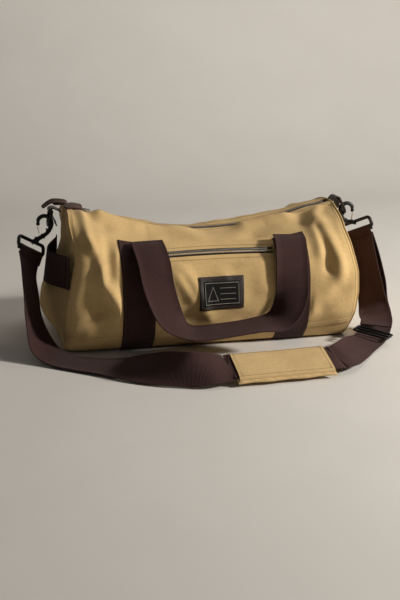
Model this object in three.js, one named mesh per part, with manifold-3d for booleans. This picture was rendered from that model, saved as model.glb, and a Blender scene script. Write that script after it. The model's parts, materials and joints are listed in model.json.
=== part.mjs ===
// A canvas duffel bag standing on its base, with webbing handles and a clip-on shoulder strap.
// Millimetres. +X along the bag, +Y towards the back, +Z up. Origin: centre of the base, on the floor.
import * as THREE from 'three';
import { mergeVertices } from 'three/addons/utils/BufferGeometryUtils.js';
import Module from 'manifold-3d';

const wasm = await Module();
wasm.setup();

// ---- driving dimensions ----
const SEAM_X = 231;            // half length between the end seams
const PEAK_SETBACK = 13;       // how far the seam leans in at the top
const END_BULGE = 25;          // how far an end panel domes out
const DOME_HEIGHT = 60;        // height of the dome's crown
const RIDGE_RADIUS = 560;      // radius of the sagging zip line
const RIDGE_MIDDLE = 169;      // height of the zip line at mid length
const HALF_DEPTH = 125;        // half depth of the body
const WIDEST_HEIGHT = 88;      // height of the widest section
const BASE_HALF = 80;          // half depth of the flat base
const UPPER_POWER = 2.3;       // section roundness above the widest height
const LOWER_POWER = 2.4;       // and below it
const WALL = 4;                // canvas with its lining
const GAP = 0.4;               // between touching pieces
const WEB_WIDTH = 50;
const WEB_THICK = 2;
const BAND_X = 122;            // centre of each webbing band
const BAND_TOP = 166;          // height where a band ends and the handle folds over
const BASE_SEAM_HEIGHT = 24;
const LIP_HALF_X = 170;        // half length of the opening lips
const LIP_HINGE_Y = 70;        // distance of the lip hinge lines from the zip
const TAPE_WIDTH = 12;
const TEETH_WIDTH = 2.8;
const FIXED_TEETH_GAP = 0.2; // half the gap between the rows where the zip stays closed
const MOUTH_TEETH_GAP = 1.5; // and at the mouth, where the rigid lips swing past each other
const POCKET_HALF_X = 96;
const POCKET_ZIP_HEIGHT = 148;
const SIDES = 10;

const COLOURS = {
  canvas: [0xc2a068, 0.9, 0],
  lining: [0xa98c5c, 0.9, 0],
  webbing: [0x3c2628, 0.85, 0],
  leather: [0x4a3020, 0.6, 0],
  label: [0x15140f, 0.8, 0],
  nickel: [0x8c867c, 0.35, 1],
  black: [0x0d0d0f, 0.3, 0],
};

const bag = new THREE.Group();

function material(kind) {
  const [color, roughness, metalness] = COLOURS[kind];
  return new THREE.MeshStandardMaterial({ color, roughness, metalness });
}

function add(name, geometry, kind) {
  const mesh = new THREE.Mesh(geometry, material(kind));
  mesh.name = name;
  bag.add(mesh);
  return mesh;
}

// ---- solids and booleans ----
function toSolid(geometry) {
  const bare = geometry.clone();
  bare.deleteAttribute('normal');
  bare.deleteAttribute('uv');
  const merged = mergeVertices(bare, 1e-3);
  return new wasm.Manifold(new wasm.Mesh({
    numProp: 3,
    vertProperties: new Float32Array(merged.attributes.position.array),
    triVerts: new Uint32Array(merged.index.array),
  }));
}

function toGeometry(solid) {
  const mesh = solid.getMesh();
  const geometry = new THREE.BufferGeometry();
  geometry.setAttribute('position', new THREE.BufferAttribute(new Float32Array(mesh.vertProperties), 3));
  geometry.setIndex(new THREE.BufferAttribute(new Uint32Array(mesh.triVerts), 1));
  return geometry;
}

function boxBetween(low, high) {
  const size = high.map((value, i) => value - low[i]);
  const middle = high.map((value, i) => (value + low[i]) / 2);
  return new THREE.BoxGeometry(...size).translate(...middle);
}

// A closed solid between two grids of points: outer(u, v) and inner(u, v), u and v from 0 to 1.
function sheet(outer, inner, stepsU, stepsV) {
  const points = [];
  const index = [];
  const row = stepsV + 1;
  const layer = (stepsU + 1) * row;
  for (const face of [outer, inner]) {
    for (let i = 0; i <= stepsU; i += 1) {
      for (let j = 0; j <= stepsV; j += 1) {
        points.push(...face(i / stepsU, j / stepsV));
      }
    }
  }
  const quad = (a, b, c, d) => index.push(a, b, c, a, c, d);
  for (let i = 0; i < stepsU; i += 1) {
    for (let j = 0; j < stepsV; j += 1) {
      const a = i * row + j;
      quad(a, a + row, a + row + 1, a + 1);
      quad(layer + a, layer + a + 1, layer + a + row + 1, layer + a + row);
    }
  }
  for (let i = 0; i < stepsU; i += 1) {
    const a = i * row;
    const b = a + stepsV;
    quad(a, layer + a, layer + a + row, a + row);
    quad(b, b + row, layer + b + row, layer + b);
  }
  for (let j = 0; j < stepsV; j += 1) {
    const a = j;
    const b = stepsU * row + j;
    quad(a, a + 1, layer + a + 1, layer + a);
    quad(b, layer + b, layer + b + 1, b + 1);
  }
  return outward(points, index);
}

// Builds the geometry with its faces pointing out, whichever way the grid ran.
function outward(points, index) {
  let volume = 0;
  const corner = (k) => new THREE.Vector3().fromArray(points, 3 * index[k]);
  for (let k = 0; k < index.length; k += 3) {
    volume += corner(k).dot(corner(k + 1).cross(corner(k + 2)));
  }
  if (volume < 0) {
    index.reverse();
  }
  const geometry = new THREE.BufferGeometry();
  geometry.setAttribute('position', new THREE.Float32BufferAttribute(points, 3));
  geometry.setIndex(index);
  return geometry;
}

// A flat webbing strip along a route. Each stop of the route is [centre, direction of its width].
function strip(route, width, thick, stepsPerStop = 4) {
  const centres = new THREE.CatmullRomCurve3(route.map(([p]) => new THREE.Vector3(...p)), false, 'centripetal');
  const widths = new THREE.CatmullRomCurve3(route.map(([, w]) => new THREE.Vector3(...w)), false, 'centripetal');
  const steps = (route.length - 1) * stepsPerStop;
  const at = (side, edge) => (u, v) => {
    const centre = centres.getPoint(u);
    const along = centres.getTangent(u);
    const across = widths.getPoint(u);
    across.addScaledVector(along, -across.dot(along)).normalize();
    const normal = new THREE.Vector3().crossVectors(along, across);
    centre.addScaledVector(across, (v - 0.5) * width * edge);
    centre.addScaledVector(normal, side * thick / 2);
    return centre.toArray();
  };
  return sheet(at(1, 1), at(-1, 1), steps, 1);
}

// A bar of constant section along a 3-D route of points.
function bar(points, radius, closed = false, steps = 24, sides = SIDES) {
  const curve = new THREE.CatmullRomCurve3(points.map((p) => new THREE.Vector3(...p)), closed, 'centripetal');
  const section = new THREE.Shape();
  section.absarc(0, 0, radius, 0, 2 * Math.PI, false);
  return new THREE.ExtrudeGeometry(section, {
    extrudePath: curve, steps, curveSegments: sides / 2, bevelEnabled: false,
  });
}

// A round ring of wire about the given normal.
function wireRing(centre, normal, radius, wire) {
  const section = [];
  for (let k = 0; k <= 6; k += 1) {
    const angle = 2 * Math.PI * (k % 6) / 6;
    section.push(new THREE.Vector2(radius + wire * Math.cos(angle), wire * Math.sin(angle)));
  }
  const turn = new THREE.Quaternion().setFromUnitVectors(new THREE.Vector3(0, 1, 0),
    new THREE.Vector3(...normal).normalize());
  return new THREE.LatheGeometry(section, 18).applyQuaternion(turn).translate(...centre);
}

// A rectangular ring of round bar, in the plane of the two directions.
function rectangularRing(centre, along, across, length, height, radius) {
  const corner = new THREE.Shape();
  const a = length / 2;
  const b = height / 2;
  const r = Math.min(a, b) * 0.6;
  corner.moveTo(-a + r, -b);
  corner.lineTo(a - r, -b);
  corner.absarc(a - r, -b + r, r, -Math.PI / 2, 0, false);
  corner.lineTo(a, b - r);
  corner.absarc(a - r, b - r, r, 0, Math.PI / 2, false);
  corner.lineTo(-a + r, b);
  corner.absarc(-a + r, b - r, r, Math.PI / 2, Math.PI, false);
  corner.lineTo(-a, -b + r);
  corner.absarc(-a + r, -b + r, r, Math.PI, 1.5 * Math.PI, false);
  const outline = corner.getSpacedPoints(28).slice(0, -1);
  const u = new THREE.Vector3(...along).normalize();
  const v = new THREE.Vector3(...across);
  v.addScaledVector(u, -v.dot(u)).normalize();
  const points = outline.map((p) => new THREE.Vector3(...centre)
    .addScaledVector(u, p.x).addScaledVector(v, p.y).toArray());
  return bar(points, radius, true, 32, 6);
}

// ---- body shape ----
function ridgeHeight(x) {
  const reach = Math.min(Math.abs(x), SEAM_X - PEAK_SETBACK);
  return RIDGE_MIDDLE + RIDGE_RADIUS - Math.sqrt(RIDGE_RADIUS ** 2 - reach ** 2);
}

// Section of the body at x: angle -90 is the front edge of the flat base, 0 the widest point, 90 the ridge.
function sectionPoint(x, degrees, inset) {
  const angle = THREE.MathUtils.degToRad(degrees);
  const c = Math.max(0, Math.cos(angle));
  const s = Math.sin(angle);
  if (s >= 0) {
    const rise = ridgeHeight(x) - inset - WIDEST_HEIGHT;
    return [-(HALF_DEPTH - inset) * c ** (2 / UPPER_POWER), WIDEST_HEIGHT + rise * s ** (2 / UPPER_POWER)];
  }
  const flare = (HALF_DEPTH - inset - BASE_HALF) * c ** (2 / LOWER_POWER);
  return [-(BASE_HALF + flare), WIDEST_HEIGHT - (WIDEST_HEIGHT - inset) * (-s) ** (2 / LOWER_POWER)];
}

function angleWhere(test) {
  let low = -90;
  let high = 90;
  for (let i = 0; i < 40; i += 1) {
    const middle = (low + high) / 2;
    if (test(middle)) {
      low = middle;
    } else {
      high = middle;
    }
  }
  return low;
}

const angleAtHeight = (x, height) => angleWhere((a) => sectionPoint(x, a, 0)[1] < height);
const angleAtDepth = (x, depth) => angleWhere((a) => -sectionPoint(x, a, 0)[0] > depth || a < 0);

function seamX(degrees) {
  return SEAM_X - PEAK_SETBACK * Math.max(0, Math.sin(THREE.MathUtils.degToRad(degrees))) ** 4;
}

// A point of the shell: x as a fraction of the seam's x, side 1 front or -1 back.
function shellPoint(fraction, degrees, inset, side) {
  const x = fraction * seamX(degrees);
  const [y, z] = sectionPoint(x, degrees, inset);
  return [x, y * side, z];
}

// A panel of the shell over a stretch of angles; from and to may depend on x.
function shellPanel(side, fromU, toU, from, to, outerInset, innerInset, stepsU, stepsV) {
  const face = (inset) => (u, v) => {
    const fraction = fromU + (toU - fromU) * u;
    const x = fraction * SEAM_X;
    return shellPoint(fraction, from(x) + (to(x) - from(x)) * v, inset, side);
  };
  return sheet(face(outerInset), face(innerInset), stepsU, stepsV);
}

const constant = (value) => () => value;
const baseSeamAngle = angleAtHeight(0, BASE_SEAM_HEIGHT);
const seamGap = 0.4;           // degrees between panels along the section
const tapeEdgeAngle = (x) => angleAtDepth(x, TAPE_WIDTH);
const bandTopAngle = angleAtHeight(BAND_X, BAND_TOP);
const SIDE_NAMES = [['front', 1], ['back', -1]];
const END_NAMES = [['left', -1], ['right', 1]];

function bandStrip(outerInset, innerInset, centreX, halfWidth) {
  const start = -bandTopAngle;
  const span = 2 * bandTopAngle;
  const face = (inset) => (u, v) => {
    const x = centreX + (2 * v - 1) * halfWidth;
    return bandPoint(x, u, inset, start, span);
  };
  return sheet(face(outerInset), face(innerInset), 40, 1);
}

// Runs down the front, under the flat base and up the back as u goes from 0 to 1.
function bandPoint(x, u, inset, start, span) {
  const side = u < 0.5 ? 1 : -1;
  const along = Math.abs(u - 0.5) * 2;
  const flat = 0.2;
  if (along < flat) {
    return [x, -side * BASE_HALF * along / flat, inset];
  }
  const degrees = -90 + (start + span + 90) * (along - flat) / (1 - flat);
  const [y, z] = sectionPoint(x, degrees, inset);
  return [x, y * side, z];
}

function grooves() {
  return [-BAND_X, BAND_X].map((x) => toSolid(bandStrip(-3, WEB_THICK + 0.3, x, WEB_WIDTH / 2 + 0.3)));
}

function cutAll(solid, cutters) {
  return cutters.reduce((left, cutter) => left.subtract(cutter), solid);
}

function sidePanel(side) {
  const lowAngle = constant(baseSeamAngle + seamGap);
  const solid = toSolid(shellPanel(side, -1, 1, lowAngle, tapeEdgeAngle, 0, WALL, 22, 12));
  const mouth = toSolid(boxBetween([-LIP_HALF_X, Math.min(0, -side * LIP_HINGE_Y), 130],
    [LIP_HALF_X, Math.max(0, -side * LIP_HINGE_Y), 300]));
  return toGeometry(cutAll(solid, [mouth, ...grooves()]));
}

function mouthLip(side) {
  const low = (x) => angleAtDepth(x, LIP_HINGE_Y - GAP);
  const reach = (LIP_HALF_X - GAP) / SEAM_X;
  return shellPanel(side, -reach, reach, low, tapeEdgeAngle, 0, WALL - 1, 16, 4);
}

function basePanel() {
  const high = baseSeamAngle;
  const face = (inset) => (u, v) => {
    const x = (2 * u - 1) * SEAM_X;
    return bandPoint(x, v, inset, -high, 2 * high);
  };
  return toGeometry(cutAll(toSolid(sheet(face(0), face(WALL), 10, 22)), grooves()));
}

// An end panel domes out from its seam to a crown low on the end.
function endPanel(side) {
  const around = 28;
  const rings = 5;
  const boundary = (turn, inset) => {
    const flat = 0.12;
    const front = turn < 0.5 ? 1 : -1;
    const along = 1 - Math.abs(turn - 0.5) * 2;
    if (along < flat) {
      return [SEAM_X, -front * BASE_HALF * along / flat, inset];
    }
    const degrees = -90 + 180 * (along - flat) / (1 - flat);
    const [y, z] = sectionPoint(SEAM_X, degrees, inset);
    return [seamX(degrees), y * front, z];
  };
  const point = (turn, r, offset) => {
    const [x, y, z] = boundary(turn, GAP + 0.5);
    const bulge = END_BULGE * Math.cos(Math.PI * r / 2) ** 3;
    const lean = SEAM_X + (x - SEAM_X) * r ** 3;
    return [side * (lean + bulge + offset), y * r, DOME_HEIGHT + (z - DOME_HEIGHT) * r];
  };
  const points = [];
  const index = [];
  for (const offset of [WALL, GAP]) {
    points.push(...point(0, 0, offset));
    for (let ring = 1; ring <= rings; ring += 1) {
      for (let k = 0; k < around; k += 1) {
        points.push(...point(k / around, ring / rings, offset));
      }
    }
  }
  const layer = 1 + rings * around;
  const at = (base, ring, k) => (ring === 0 ? base : base + 1 + (ring - 1) * around + (k % around));
  for (let k = 0; k < around; k += 1) {
    index.push(0, at(0, 1, k), at(0, 1, k + 1));
    index.push(layer, at(layer, 1, k + 1), at(layer, 1, k));
    for (let ring = 1; ring < rings; ring += 1) {
      const [a, b] = [at(0, ring, k), at(0, ring, k + 1)];
      const [c, d] = [at(0, ring + 1, k), at(0, ring + 1, k + 1)];
      index.push(a, c, d, a, d, b);
      index.push(layer + a, layer + d, layer + c, layer + a, layer + b, layer + d);
    }
    const [e, f] = [at(0, rings, k), at(0, rings, k + 1)];
    index.push(e, layer + e, layer + f, e, layer + f, f);
  }
  return outward(points, index);
}

function addBody() {
  add('base_panel', basePanel(), 'canvas');
  for (const [name, side] of SIDE_NAMES) {
    add(`${name}_panel`, sidePanel(side), 'canvas');
    add(`mouth_${name}_panel`, mouthLip(side), 'canvas');
  }
  for (const [name, side] of END_NAMES) {
    add(`${name}_end_panel`, endPanel(side), 'canvas');
    add(`${name}_webbing_band`, bandStrip(0, WEB_THICK, side * BAND_X, WEB_WIDTH / 2), 'webbing');
  }
}

// ---- main zip ----
const ZIP_END_X = 213;
const TEETH_PROUD = 1.2;

// A strip that follows the ridge at a distance from the middle line.
function ridgeStrip(side, fromX, toX, nearY, farY, lowZ, highZ, steps) {
  const face = (rise) => (u, v) => {
    const x = fromX + (toX - fromX) * u;
    return [x, -side * (nearY + (farY - nearY) * v), ridgeHeight(x) + rise];
  };
  return sheet(face(highZ), face(lowZ), steps, 1);
}

function addMainZip() {
  const stretches = [
    ['left_end', -ZIP_END_X, -LIP_HALF_X - GAP, 4],
    ['mouth', -LIP_HALF_X, LIP_HALF_X, 20],
    ['right_end', LIP_HALF_X + GAP, ZIP_END_X, 4],
  ];
  for (const [name, side] of SIDE_NAMES) {
    for (const [stretch, from, to, steps] of stretches) {
      const tape = ridgeStrip(side, from, to, TEETH_WIDTH + GAP, TAPE_WIDTH - 0.6, -1.6, -0.6, steps);
      const gap = stretch === 'mouth' ? MOUTH_TEETH_GAP : FIXED_TEETH_GAP;
      const teeth = ridgeStrip(side, from, to, gap, TEETH_WIDTH, -TEETH_PROUD, TEETH_PROUD, steps);
      add(`${name}_${stretch}_zip_tape`, tape, 'webbing');
      add(`${name}_${stretch}_zip_teeth`, teeth, 'nickel');
    }
  }
}

// A slider of the main zip at x: plates above and below the teeth, joined by a post between the plates
// at the leading end where the rows part.
function mainSlider(x) {
  const tilt = Math.asin(x / RIDGE_RADIUS);
  const place = (geometry) => geometry.rotateY(-tilt).translate(x, 0, ridgeHeight(x));
  const upper = toSolid(place(boxBetween([-7, -4.2, 1.7], [7, 4.2, 3.2])));
  const loop = toSolid(place(boxBetween([-3.5, -1.3, 3], [4.5, 1.3, 8])));
  const hole = toSolid(place(boxBetween([-2, -2, 3.6], [3, 2, 6.6])));
  return toGeometry(upper.add(loop).subtract(hole));
}

// The pull starts in the slider's loop and lies over the canvas.
function leatherPull(points, width, thick) {
  const route = points.map((p) => [p, [0.15, -1, 0.1]]);
  return strip(route, width, thick, 3);
}

const SLIDER_X = [-204, -181];

function addMainSliders() {
  SLIDER_X.forEach((x, i) => {
    const number = i + 1;
    const z = ridgeHeight(x);
    add(`zip_slider_${number}`, mainSlider(x), 'nickel');
    add(`pull_ring_${number}`, wireRing([x - 4.6, 0, z + 7.2], [0.33, 0, 0.94], 7, 0.8), 'nickel');
  });
  const [x1, x2] = SLIDER_X;
  const z1 = ridgeHeight(x1) + 7.5;
  const z2 = ridgeHeight(x2) + 7.5;
  add('zip_pull_1', leatherPull([[x1 - 14.5, 0, z1 + 4], [x1 - 32, 0, z1 + 5], [x1 - 47, 0, z1 - 4]], 11, 2.4),
    'leather');
  add('zip_pull_2', leatherPull([[x2 - 13.5, -8, z2 + 5], [x2 - 27, -21, z2 + 9.5], [x2 - 38, -31, z2 + 10]], 11, 2.4),
    'leather');
}

// ---- front pocket ----
const POCKET_OUT = -2.6;
const POCKET_IN = -0.9;

function pocketPiece(fromHeight, toHeight, fromX, toX, outInset, inInset, steps) {
  const half = SEAM_X;
  const face = (inset) => (u, v) => {
    const x = fromX + (toX - fromX) * u;
    const height = fromHeight + (toHeight - fromHeight) * v;
    const [y, z] = sectionPoint(x, angleAtHeight(x, height), inset);
    return [Math.max(-half, x), y, z];
  };
  return sheet(face(outInset), face(inInset), steps, Math.max(1, Math.round((toHeight - fromHeight) / 11)));
}

function addPocket() {
  const z = POCKET_ZIP_HEIGHT;
  const half = POCKET_HALF_X;
  const zipHalf = 86;
  add('pocket_panel', pocketPiece(BASE_SEAM_HEIGHT + 2, z - 8, -half, half, POCKET_OUT, POCKET_IN, 12), 'canvas');
  add('pocket_zip_lower_tape', pocketPiece(z - 7.5, z - 2.6, -zipHalf, zipHalf, -1.4, POCKET_IN, 12), 'webbing');
  add('pocket_zip_lower_teeth', pocketPiece(z - 2.2, z - 0.2, -zipHalf, zipHalf, -2.4, POCKET_IN, 12), 'nickel');
  add('pocket_zip_upper_teeth', pocketPiece(z + 0.2, z + 2.2, -zipHalf, zipHalf, -2.4, POCKET_IN, 12), 'nickel');
  add('pocket_zip_upper_tape', pocketPiece(z + 2.6, z + 7.5, -zipHalf, zipHalf, -1.4, POCKET_IN, 12), 'webbing');
  const slider = pocketPiece(z - 4, z + 4, -zipHalf + 1, -zipHalf + 12, -4.4, -2.8, 2);
  add('pocket_zip_slider', slider, 'nickel');
  add('pocket_zip_pull', pocketPiece(z - 24, z - 5.6, -zipHalf + 3, -zipHalf + 10, -5.4, -3.6, 2), 'nickel');
}

function addLabel() {
  const centre = [4, 92];
  const size = [70, 48];
  const patch = (w, h, out, inn) => pocketPiece(centre[1] - h / 2, centre[1] + h / 2,
    centre[0] - w / 2, centre[0] + w / 2, out, inn, 5);
  add('leather_patch', patch(size[0], size[1], -5, -3.6), 'leather');
  add('woven_label', patch(size[0] - 12, size[1] - 12, -6.2, -5.5), 'label');
}

addBody();
addMainZip();
addMainSliders();
addPocket();
addLabel();

// ---- carrying handles ----
// Each handle hangs in a low loop from its two folds. A stop is [centre, direction of the width].
const HANDLE_ROUTE = [
  [[-111, -91, 170], [1, 0, 0]],
  [[-108.5, -110, 163], [1, 0, 0]],
  [[-102, -128, 143], [1, 0.05, 0]],
  [[-93.5, -140, 106], [0.95, 0.25, 0.1]],
  [[-78, -148, 64], [0.75, 0.55, 0.3]],
  [[-50, -153, 37], [0.2, 0.93, 0.28]],
  [[-8, -154, 36], [0, 0.96, 0.26]],
  [[52, -152, 41], [0, 0.96, 0.26]],
  [[90, -148, 50], [-0.4, 0.82, 0.33]],
  [[110, -143, 80], [-0.85, 0.45, 0.2]],
  [[114, -134, 122], [-1, 0.1, 0]],
  [[118, -112, 160], [-1, 0, 0]],
  [[120, -91, 170], [-1, 0, 0]],
];

// The grab handle hangs on the left end, pushed flat behind the strap's hook and standing out in front of it.
const GRAB_ROUTE = [
  [[-240.6, -88, 124], [0.1, 0, 1]],
  [[-251.5, -66, 124], [0.12, 0, 0.99]],
  [[-258.4, -44, 124], [0.15, 0, 0.99]],
  [[-256.6, -20, 124], [0.15, 0, 0.99]],
  [[-253, 5, 124], [0.15, 0, 0.99]],
  [[-252.4, 30, 124], [0.15, 0, 0.99]],
  [[-249.5, 58, 124], [0.12, 0, 0.99]],
  [[-240.6, 88, 124], [0.1, 0, 1]],
];

function grabTab(side) {
  const route = [
    [[-236.6, side * 108, 124], [0.02, 0, 1]],
    [[-237.6, side * 98, 124], [0.05, 0, 1]],
    [[-239.4, side * 90.5, 124], [0.1, 0, 1]],
  ];
  return strip(route, WEB_WIDTH, WEB_THICK, 2);
}

function addHandles() {
  add('front_handle', strip(HANDLE_ROUTE, WEB_WIDTH, WEB_THICK, 4), 'webbing');
  const turned = HANDLE_ROUTE.map(([[x, y, z], [a, b, c]]) => [[-x, -y, z], [-a, -b, c]]);
  add('back_handle', strip(turned, WEB_WIDTH, WEB_THICK, 4), 'webbing');
  add('end_handle', strip(GRAB_ROUTE, WEB_WIDTH, WEB_THICK, 4), 'webbing');
  add('end_handle_front_tab', grabTab(-1), 'webbing');
  add('end_handle_back_tab', grabTab(1), 'webbing');
}

// ---- strap anchors, hooks and swivel rings ----
const D_HALF = 18;
const D_DROP = 24;
const D_BAR = 1.7;
const EYE = [248, 187];        // x and z of the hook's eye
const HOOK_BAR = 2.6;
const GATE_BAR = 0.8;
const RING_LENGTH = 58;
const RING_HEIGHT = 16;
const RING_BAR = 2.2;

// The strap's two ends: x and z of the D-ring's straight bar and how far the ring leans outward for its
// drop; the swivel ring's centre, the direction of its long side, and of its hang.
const STRAP_ENDS = {
  left: {
    side: -1,
    bar: [238, 207.5],
    lean: 0.2,
    centre: [-277.5, -10, 154],
    along: [0.65, 0.55, -0.45],
    hang: [-0.2, -0.55, -0.8],
  },
  right: {
    side: 1,
    bar: [230, 207.5],
    lean: 0.58,
    centre: [266, -6, 161],
    along: [0.5, -0.77, 0.4],
    hang: [0.3, -0.25, -0.9],
  },
};

function anchorLoop({ side, bar: [x, z] }) {
  const out = D_BAR + 0.8 + WEB_THICK / 2;
  const route = [
    [[side * (x - 7), 0, z + out + 4.5], [0, 1, 0]],
    [[side * (x - 1), 0, z + out + 0.3], [0, 1, 0]],
    [[side * (x + out - 0.5), 0, z + 1.4], [0, 1, 0]],
    [[side * (x + out - 0.9), 0, z - 1.8], [0, 1, 0]],
    [[side * x, 0, z - out - 0.1], [0, 1, 0]],
    [[side * (x - 2.7), 0, z - out + 0.2], [0, 1, 0]],
  ];
  return strip(route, 24, WEB_THICK, 4);
}

// A D-shaped ring hanging from the loop, its straight bar inside the loop.
function dRing({ side, bar: [x, z], lean }) {
  const at = (y, down) => [side * (x + lean * down), y, z - down];
  const points = [at(-D_HALF * 0.5, 0), at(0, 0), at(D_HALF * 0.5, 0)];
  for (let k = 0; k <= 8; k += 1) {
    const angle = Math.PI * k / 8;
    points.push(at(D_HALF * Math.cos(angle), 2 + (D_DROP - 2) * Math.sin(angle)));
  }
  return bar(points, D_BAR, true, 32, 6);
}

// A snap hook: a curled bar from its tip, over the eye and down the inner side to the swivel foot.
function snapHook(end) {
  const { side } = end;
  const [x, z] = EYE;
  const curl = [[10.5, -1], [9, 7], [1, 11.3], [-8, 7.5], [-10, -2], [-6.5, -12], [0, -18.5]];
  const route = curl.map(([out, up]) => new THREE.Vector3(side * (x + out), 0, z + up));
  const ring = new THREE.Vector3(...end.centre).addScaledVector(new THREE.Vector3(...end.hang).normalize(),
    -RING_HEIGHT / 2);
  const foot = ring.clone().sub(route[route.length - 1]);
  foot.setLength(foot.length() - RING_BAR - 6.4).add(route[route.length - 1]);
  route.push(route[route.length - 1].clone().lerp(foot, 0.5), foot);
  return bar(route.map((p) => p.toArray()), HOOK_BAR, false, 26, 8);
}

// The sprung wire that closes the hook's mouth; it turns about its lower end.
function wireGate(side) {
  const [x, z] = EYE;
  const route = [[11.2, -5], [10.6, -10], [9.6, -16]];
  return bar(route.map(([out, up]) => [side * (x + out), 0, z + up]), GATE_BAR, false, 6, 6);
}

function swivelRing({ centre, along, hang }) {
  return rectangularRing(centre, along, hang, RING_LENGTH, RING_HEIGHT, RING_BAR);
}

function addEndHardware() {
  for (const [name, side] of END_NAMES) {
    add(`${name}_strap_anchor`, anchorLoop(STRAP_ENDS[name]), 'webbing');
    add(`${name}_d_ring`, dRing(STRAP_ENDS[name]), 'black');
    add(`${name}_snap_hook`, snapHook(STRAP_ENDS[name]), 'black');
    add(`${name}_wire_gate`, wireGate(side), 'nickel');
    add(`${name}_swivel_ring`, swivelRing(STRAP_ENDS[name]), 'black');
  }
}

// ---- shoulder strap ----
// From the left ring down to the floor, round the front of the bag, under the pad, and up to the right ring.
const STRAP_LEFT = [
  [[-282, -19, 140.5], [0.62, 0.58, -0.45]],
  [[-284, -36, 117], [0.46, 0.84, -0.25]],
  [[-282, -54, 90], [0.46, 0.88, -0.1]],
  [[-280, -73, 59], [0.48, 0.87, 0]],
  [[-273, -90, 31], [0.6, 0.8, 0.05]],
  [[-260.5, -113, 13], [0.75, 0.65, 0.05]],
  [[-240, -136, 5.5], [0.85, 0.5, 0.05]],
  [[-213, -160, 5], [0.85, 0.5, 0.1]],
  [[-176, -192, 9], [0.8, 0.55, 0.25]],
  [[-142, -230, 17], [0.55, 0.6, 0.6]],
  [[-110, -258, 23], [0.25, 0.5, 0.83]],
  [[-78, -276, 25], [0.05, 0.4, 0.92]],
  [[-48, -279, 25], [0.03, 0.7, 0.7]],
  [[-20, -269, 22], [0.1, 0.92, 0.36]],
];
const PAD_ROUTE = [
  [[-14, -268, 21], [0.04, 0.92, 0.34]],
  [[60, -265, 21], [0, 0.94, 0.34]],
  [[133, -260, 21], [-0.06, 0.9, 0.34]],
];
const STRAP_RIGHT = [
  [[145, -257, 20], [-0.12, 0.9, 0.36]],
  [[162, -247, 20], [-0.35, 0.85, 0.4]],
  [[185, -217, 17], [-0.5, 0.75, 0.4]],
  [[211, -179, 12], [-0.6, 0.7, 0.3]],
  [[238, -147, 9], [-0.7, 0.65, 0.12]],
  [[261, -111, 9.5], [-0.72, 0.68, 0.06]],
  [[276, -82, 19], [-0.66, 0.75, 0.03]],
  [[281, -57, 40], [-0.55, 0.83, 0]],
  [[285, -38, 74], [-0.5, 0.866, 0]],
  [[280, -23, 112], [-0.5, 0.84, -0.15]],
  [[271.5, -11, 145], [-0.5, 0.77, -0.4]],
];
const STRAP_RETURN = [
  [[267, -19, 141], [-0.5, 0.77, -0.4]],
  [[269, -34, 112], [-0.5, 0.84, -0.15]],
  [[272, -52, 76], [-0.5, 0.866, 0]],
  [[271, -72, 48], [-0.55, 0.83, 0]],
  [[268, -91, 35], [-0.62, 0.77, 0.06]],
  [[265, -109, 28.5], [-0.7, 0.68, 0.1]],
  [[257, -126, 23.2], [-0.72, 0.65, 0.12]],
];
const GLIDE = { centre: [246, -142, 17.5], along: [-0.7, 0.65, 0.12], across: [0.65, 0.7, 0] };
const PAD_WIDTH = 66;
const PAD_THICK = 6;
const SLEEVE_WIDTH = 56;
const SLEEVE_THICK = 1.4;

// The same route moved along z, for the layers above and below the webbing.
const lifted = (route, rise) => route.map(([[x, y, z], w]) => [[x, y, z + rise], w]);

// The slide adjuster: an oblong plate with two slots.
function triGlide({ centre, along, across }) {
  const plate = toSolid(boxBetween([-29, -13, -1.6], [29, 13, 1.6]));
  const slots = [-1, 1].map((s) => toSolid(boxBetween([-25.5, s * 6.2 - 3.6, -3], [25.5, s * 6.2 + 3.6, 3])));
  const x = new THREE.Vector3(...along).normalize();
  const y = new THREE.Vector3(...across);
  y.addScaledVector(x, -y.dot(x)).normalize();
  const z = new THREE.Vector3().crossVectors(x, y);
  const place = new THREE.Matrix4().makeBasis(x, y, z).setPosition(...centre);
  return toGeometry(cutAll(plate, slots)).applyMatrix4(place);
}

function addStrap() {
  const padOffset = (PAD_THICK + WEB_THICK) / 2 + 1;
  const sleeveOffset = (SLEEVE_THICK + WEB_THICK) / 2 + 0.8;
  add('strap_left_run', strip(STRAP_LEFT, WEB_WIDTH, WEB_THICK, 3), 'webbing');
  add('strap_under_pad', strip(PAD_ROUTE, WEB_WIDTH, WEB_THICK, 5), 'webbing');
  add('strap_right_run', strip(STRAP_RIGHT, WEB_WIDTH, WEB_THICK, 3), 'webbing');
  add('strap_return', strip(STRAP_RETURN, WEB_WIDTH, WEB_THICK, 3), 'webbing');
  add('shoulder_pad', strip(lifted(PAD_ROUTE, -padOffset), PAD_WIDTH, PAD_THICK, 6), 'canvas');
  add('shoulder_pad_sleeve', strip(lifted(PAD_ROUTE, sleeveOffset), SLEEVE_WIDTH, SLEEVE_THICK, 6), 'canvas');
  add('strap_adjuster', triGlide(GLIDE), 'black');
}

addHandles();
addEndHardware();
addStrap();

export default bag;
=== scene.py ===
import json
import math

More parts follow.
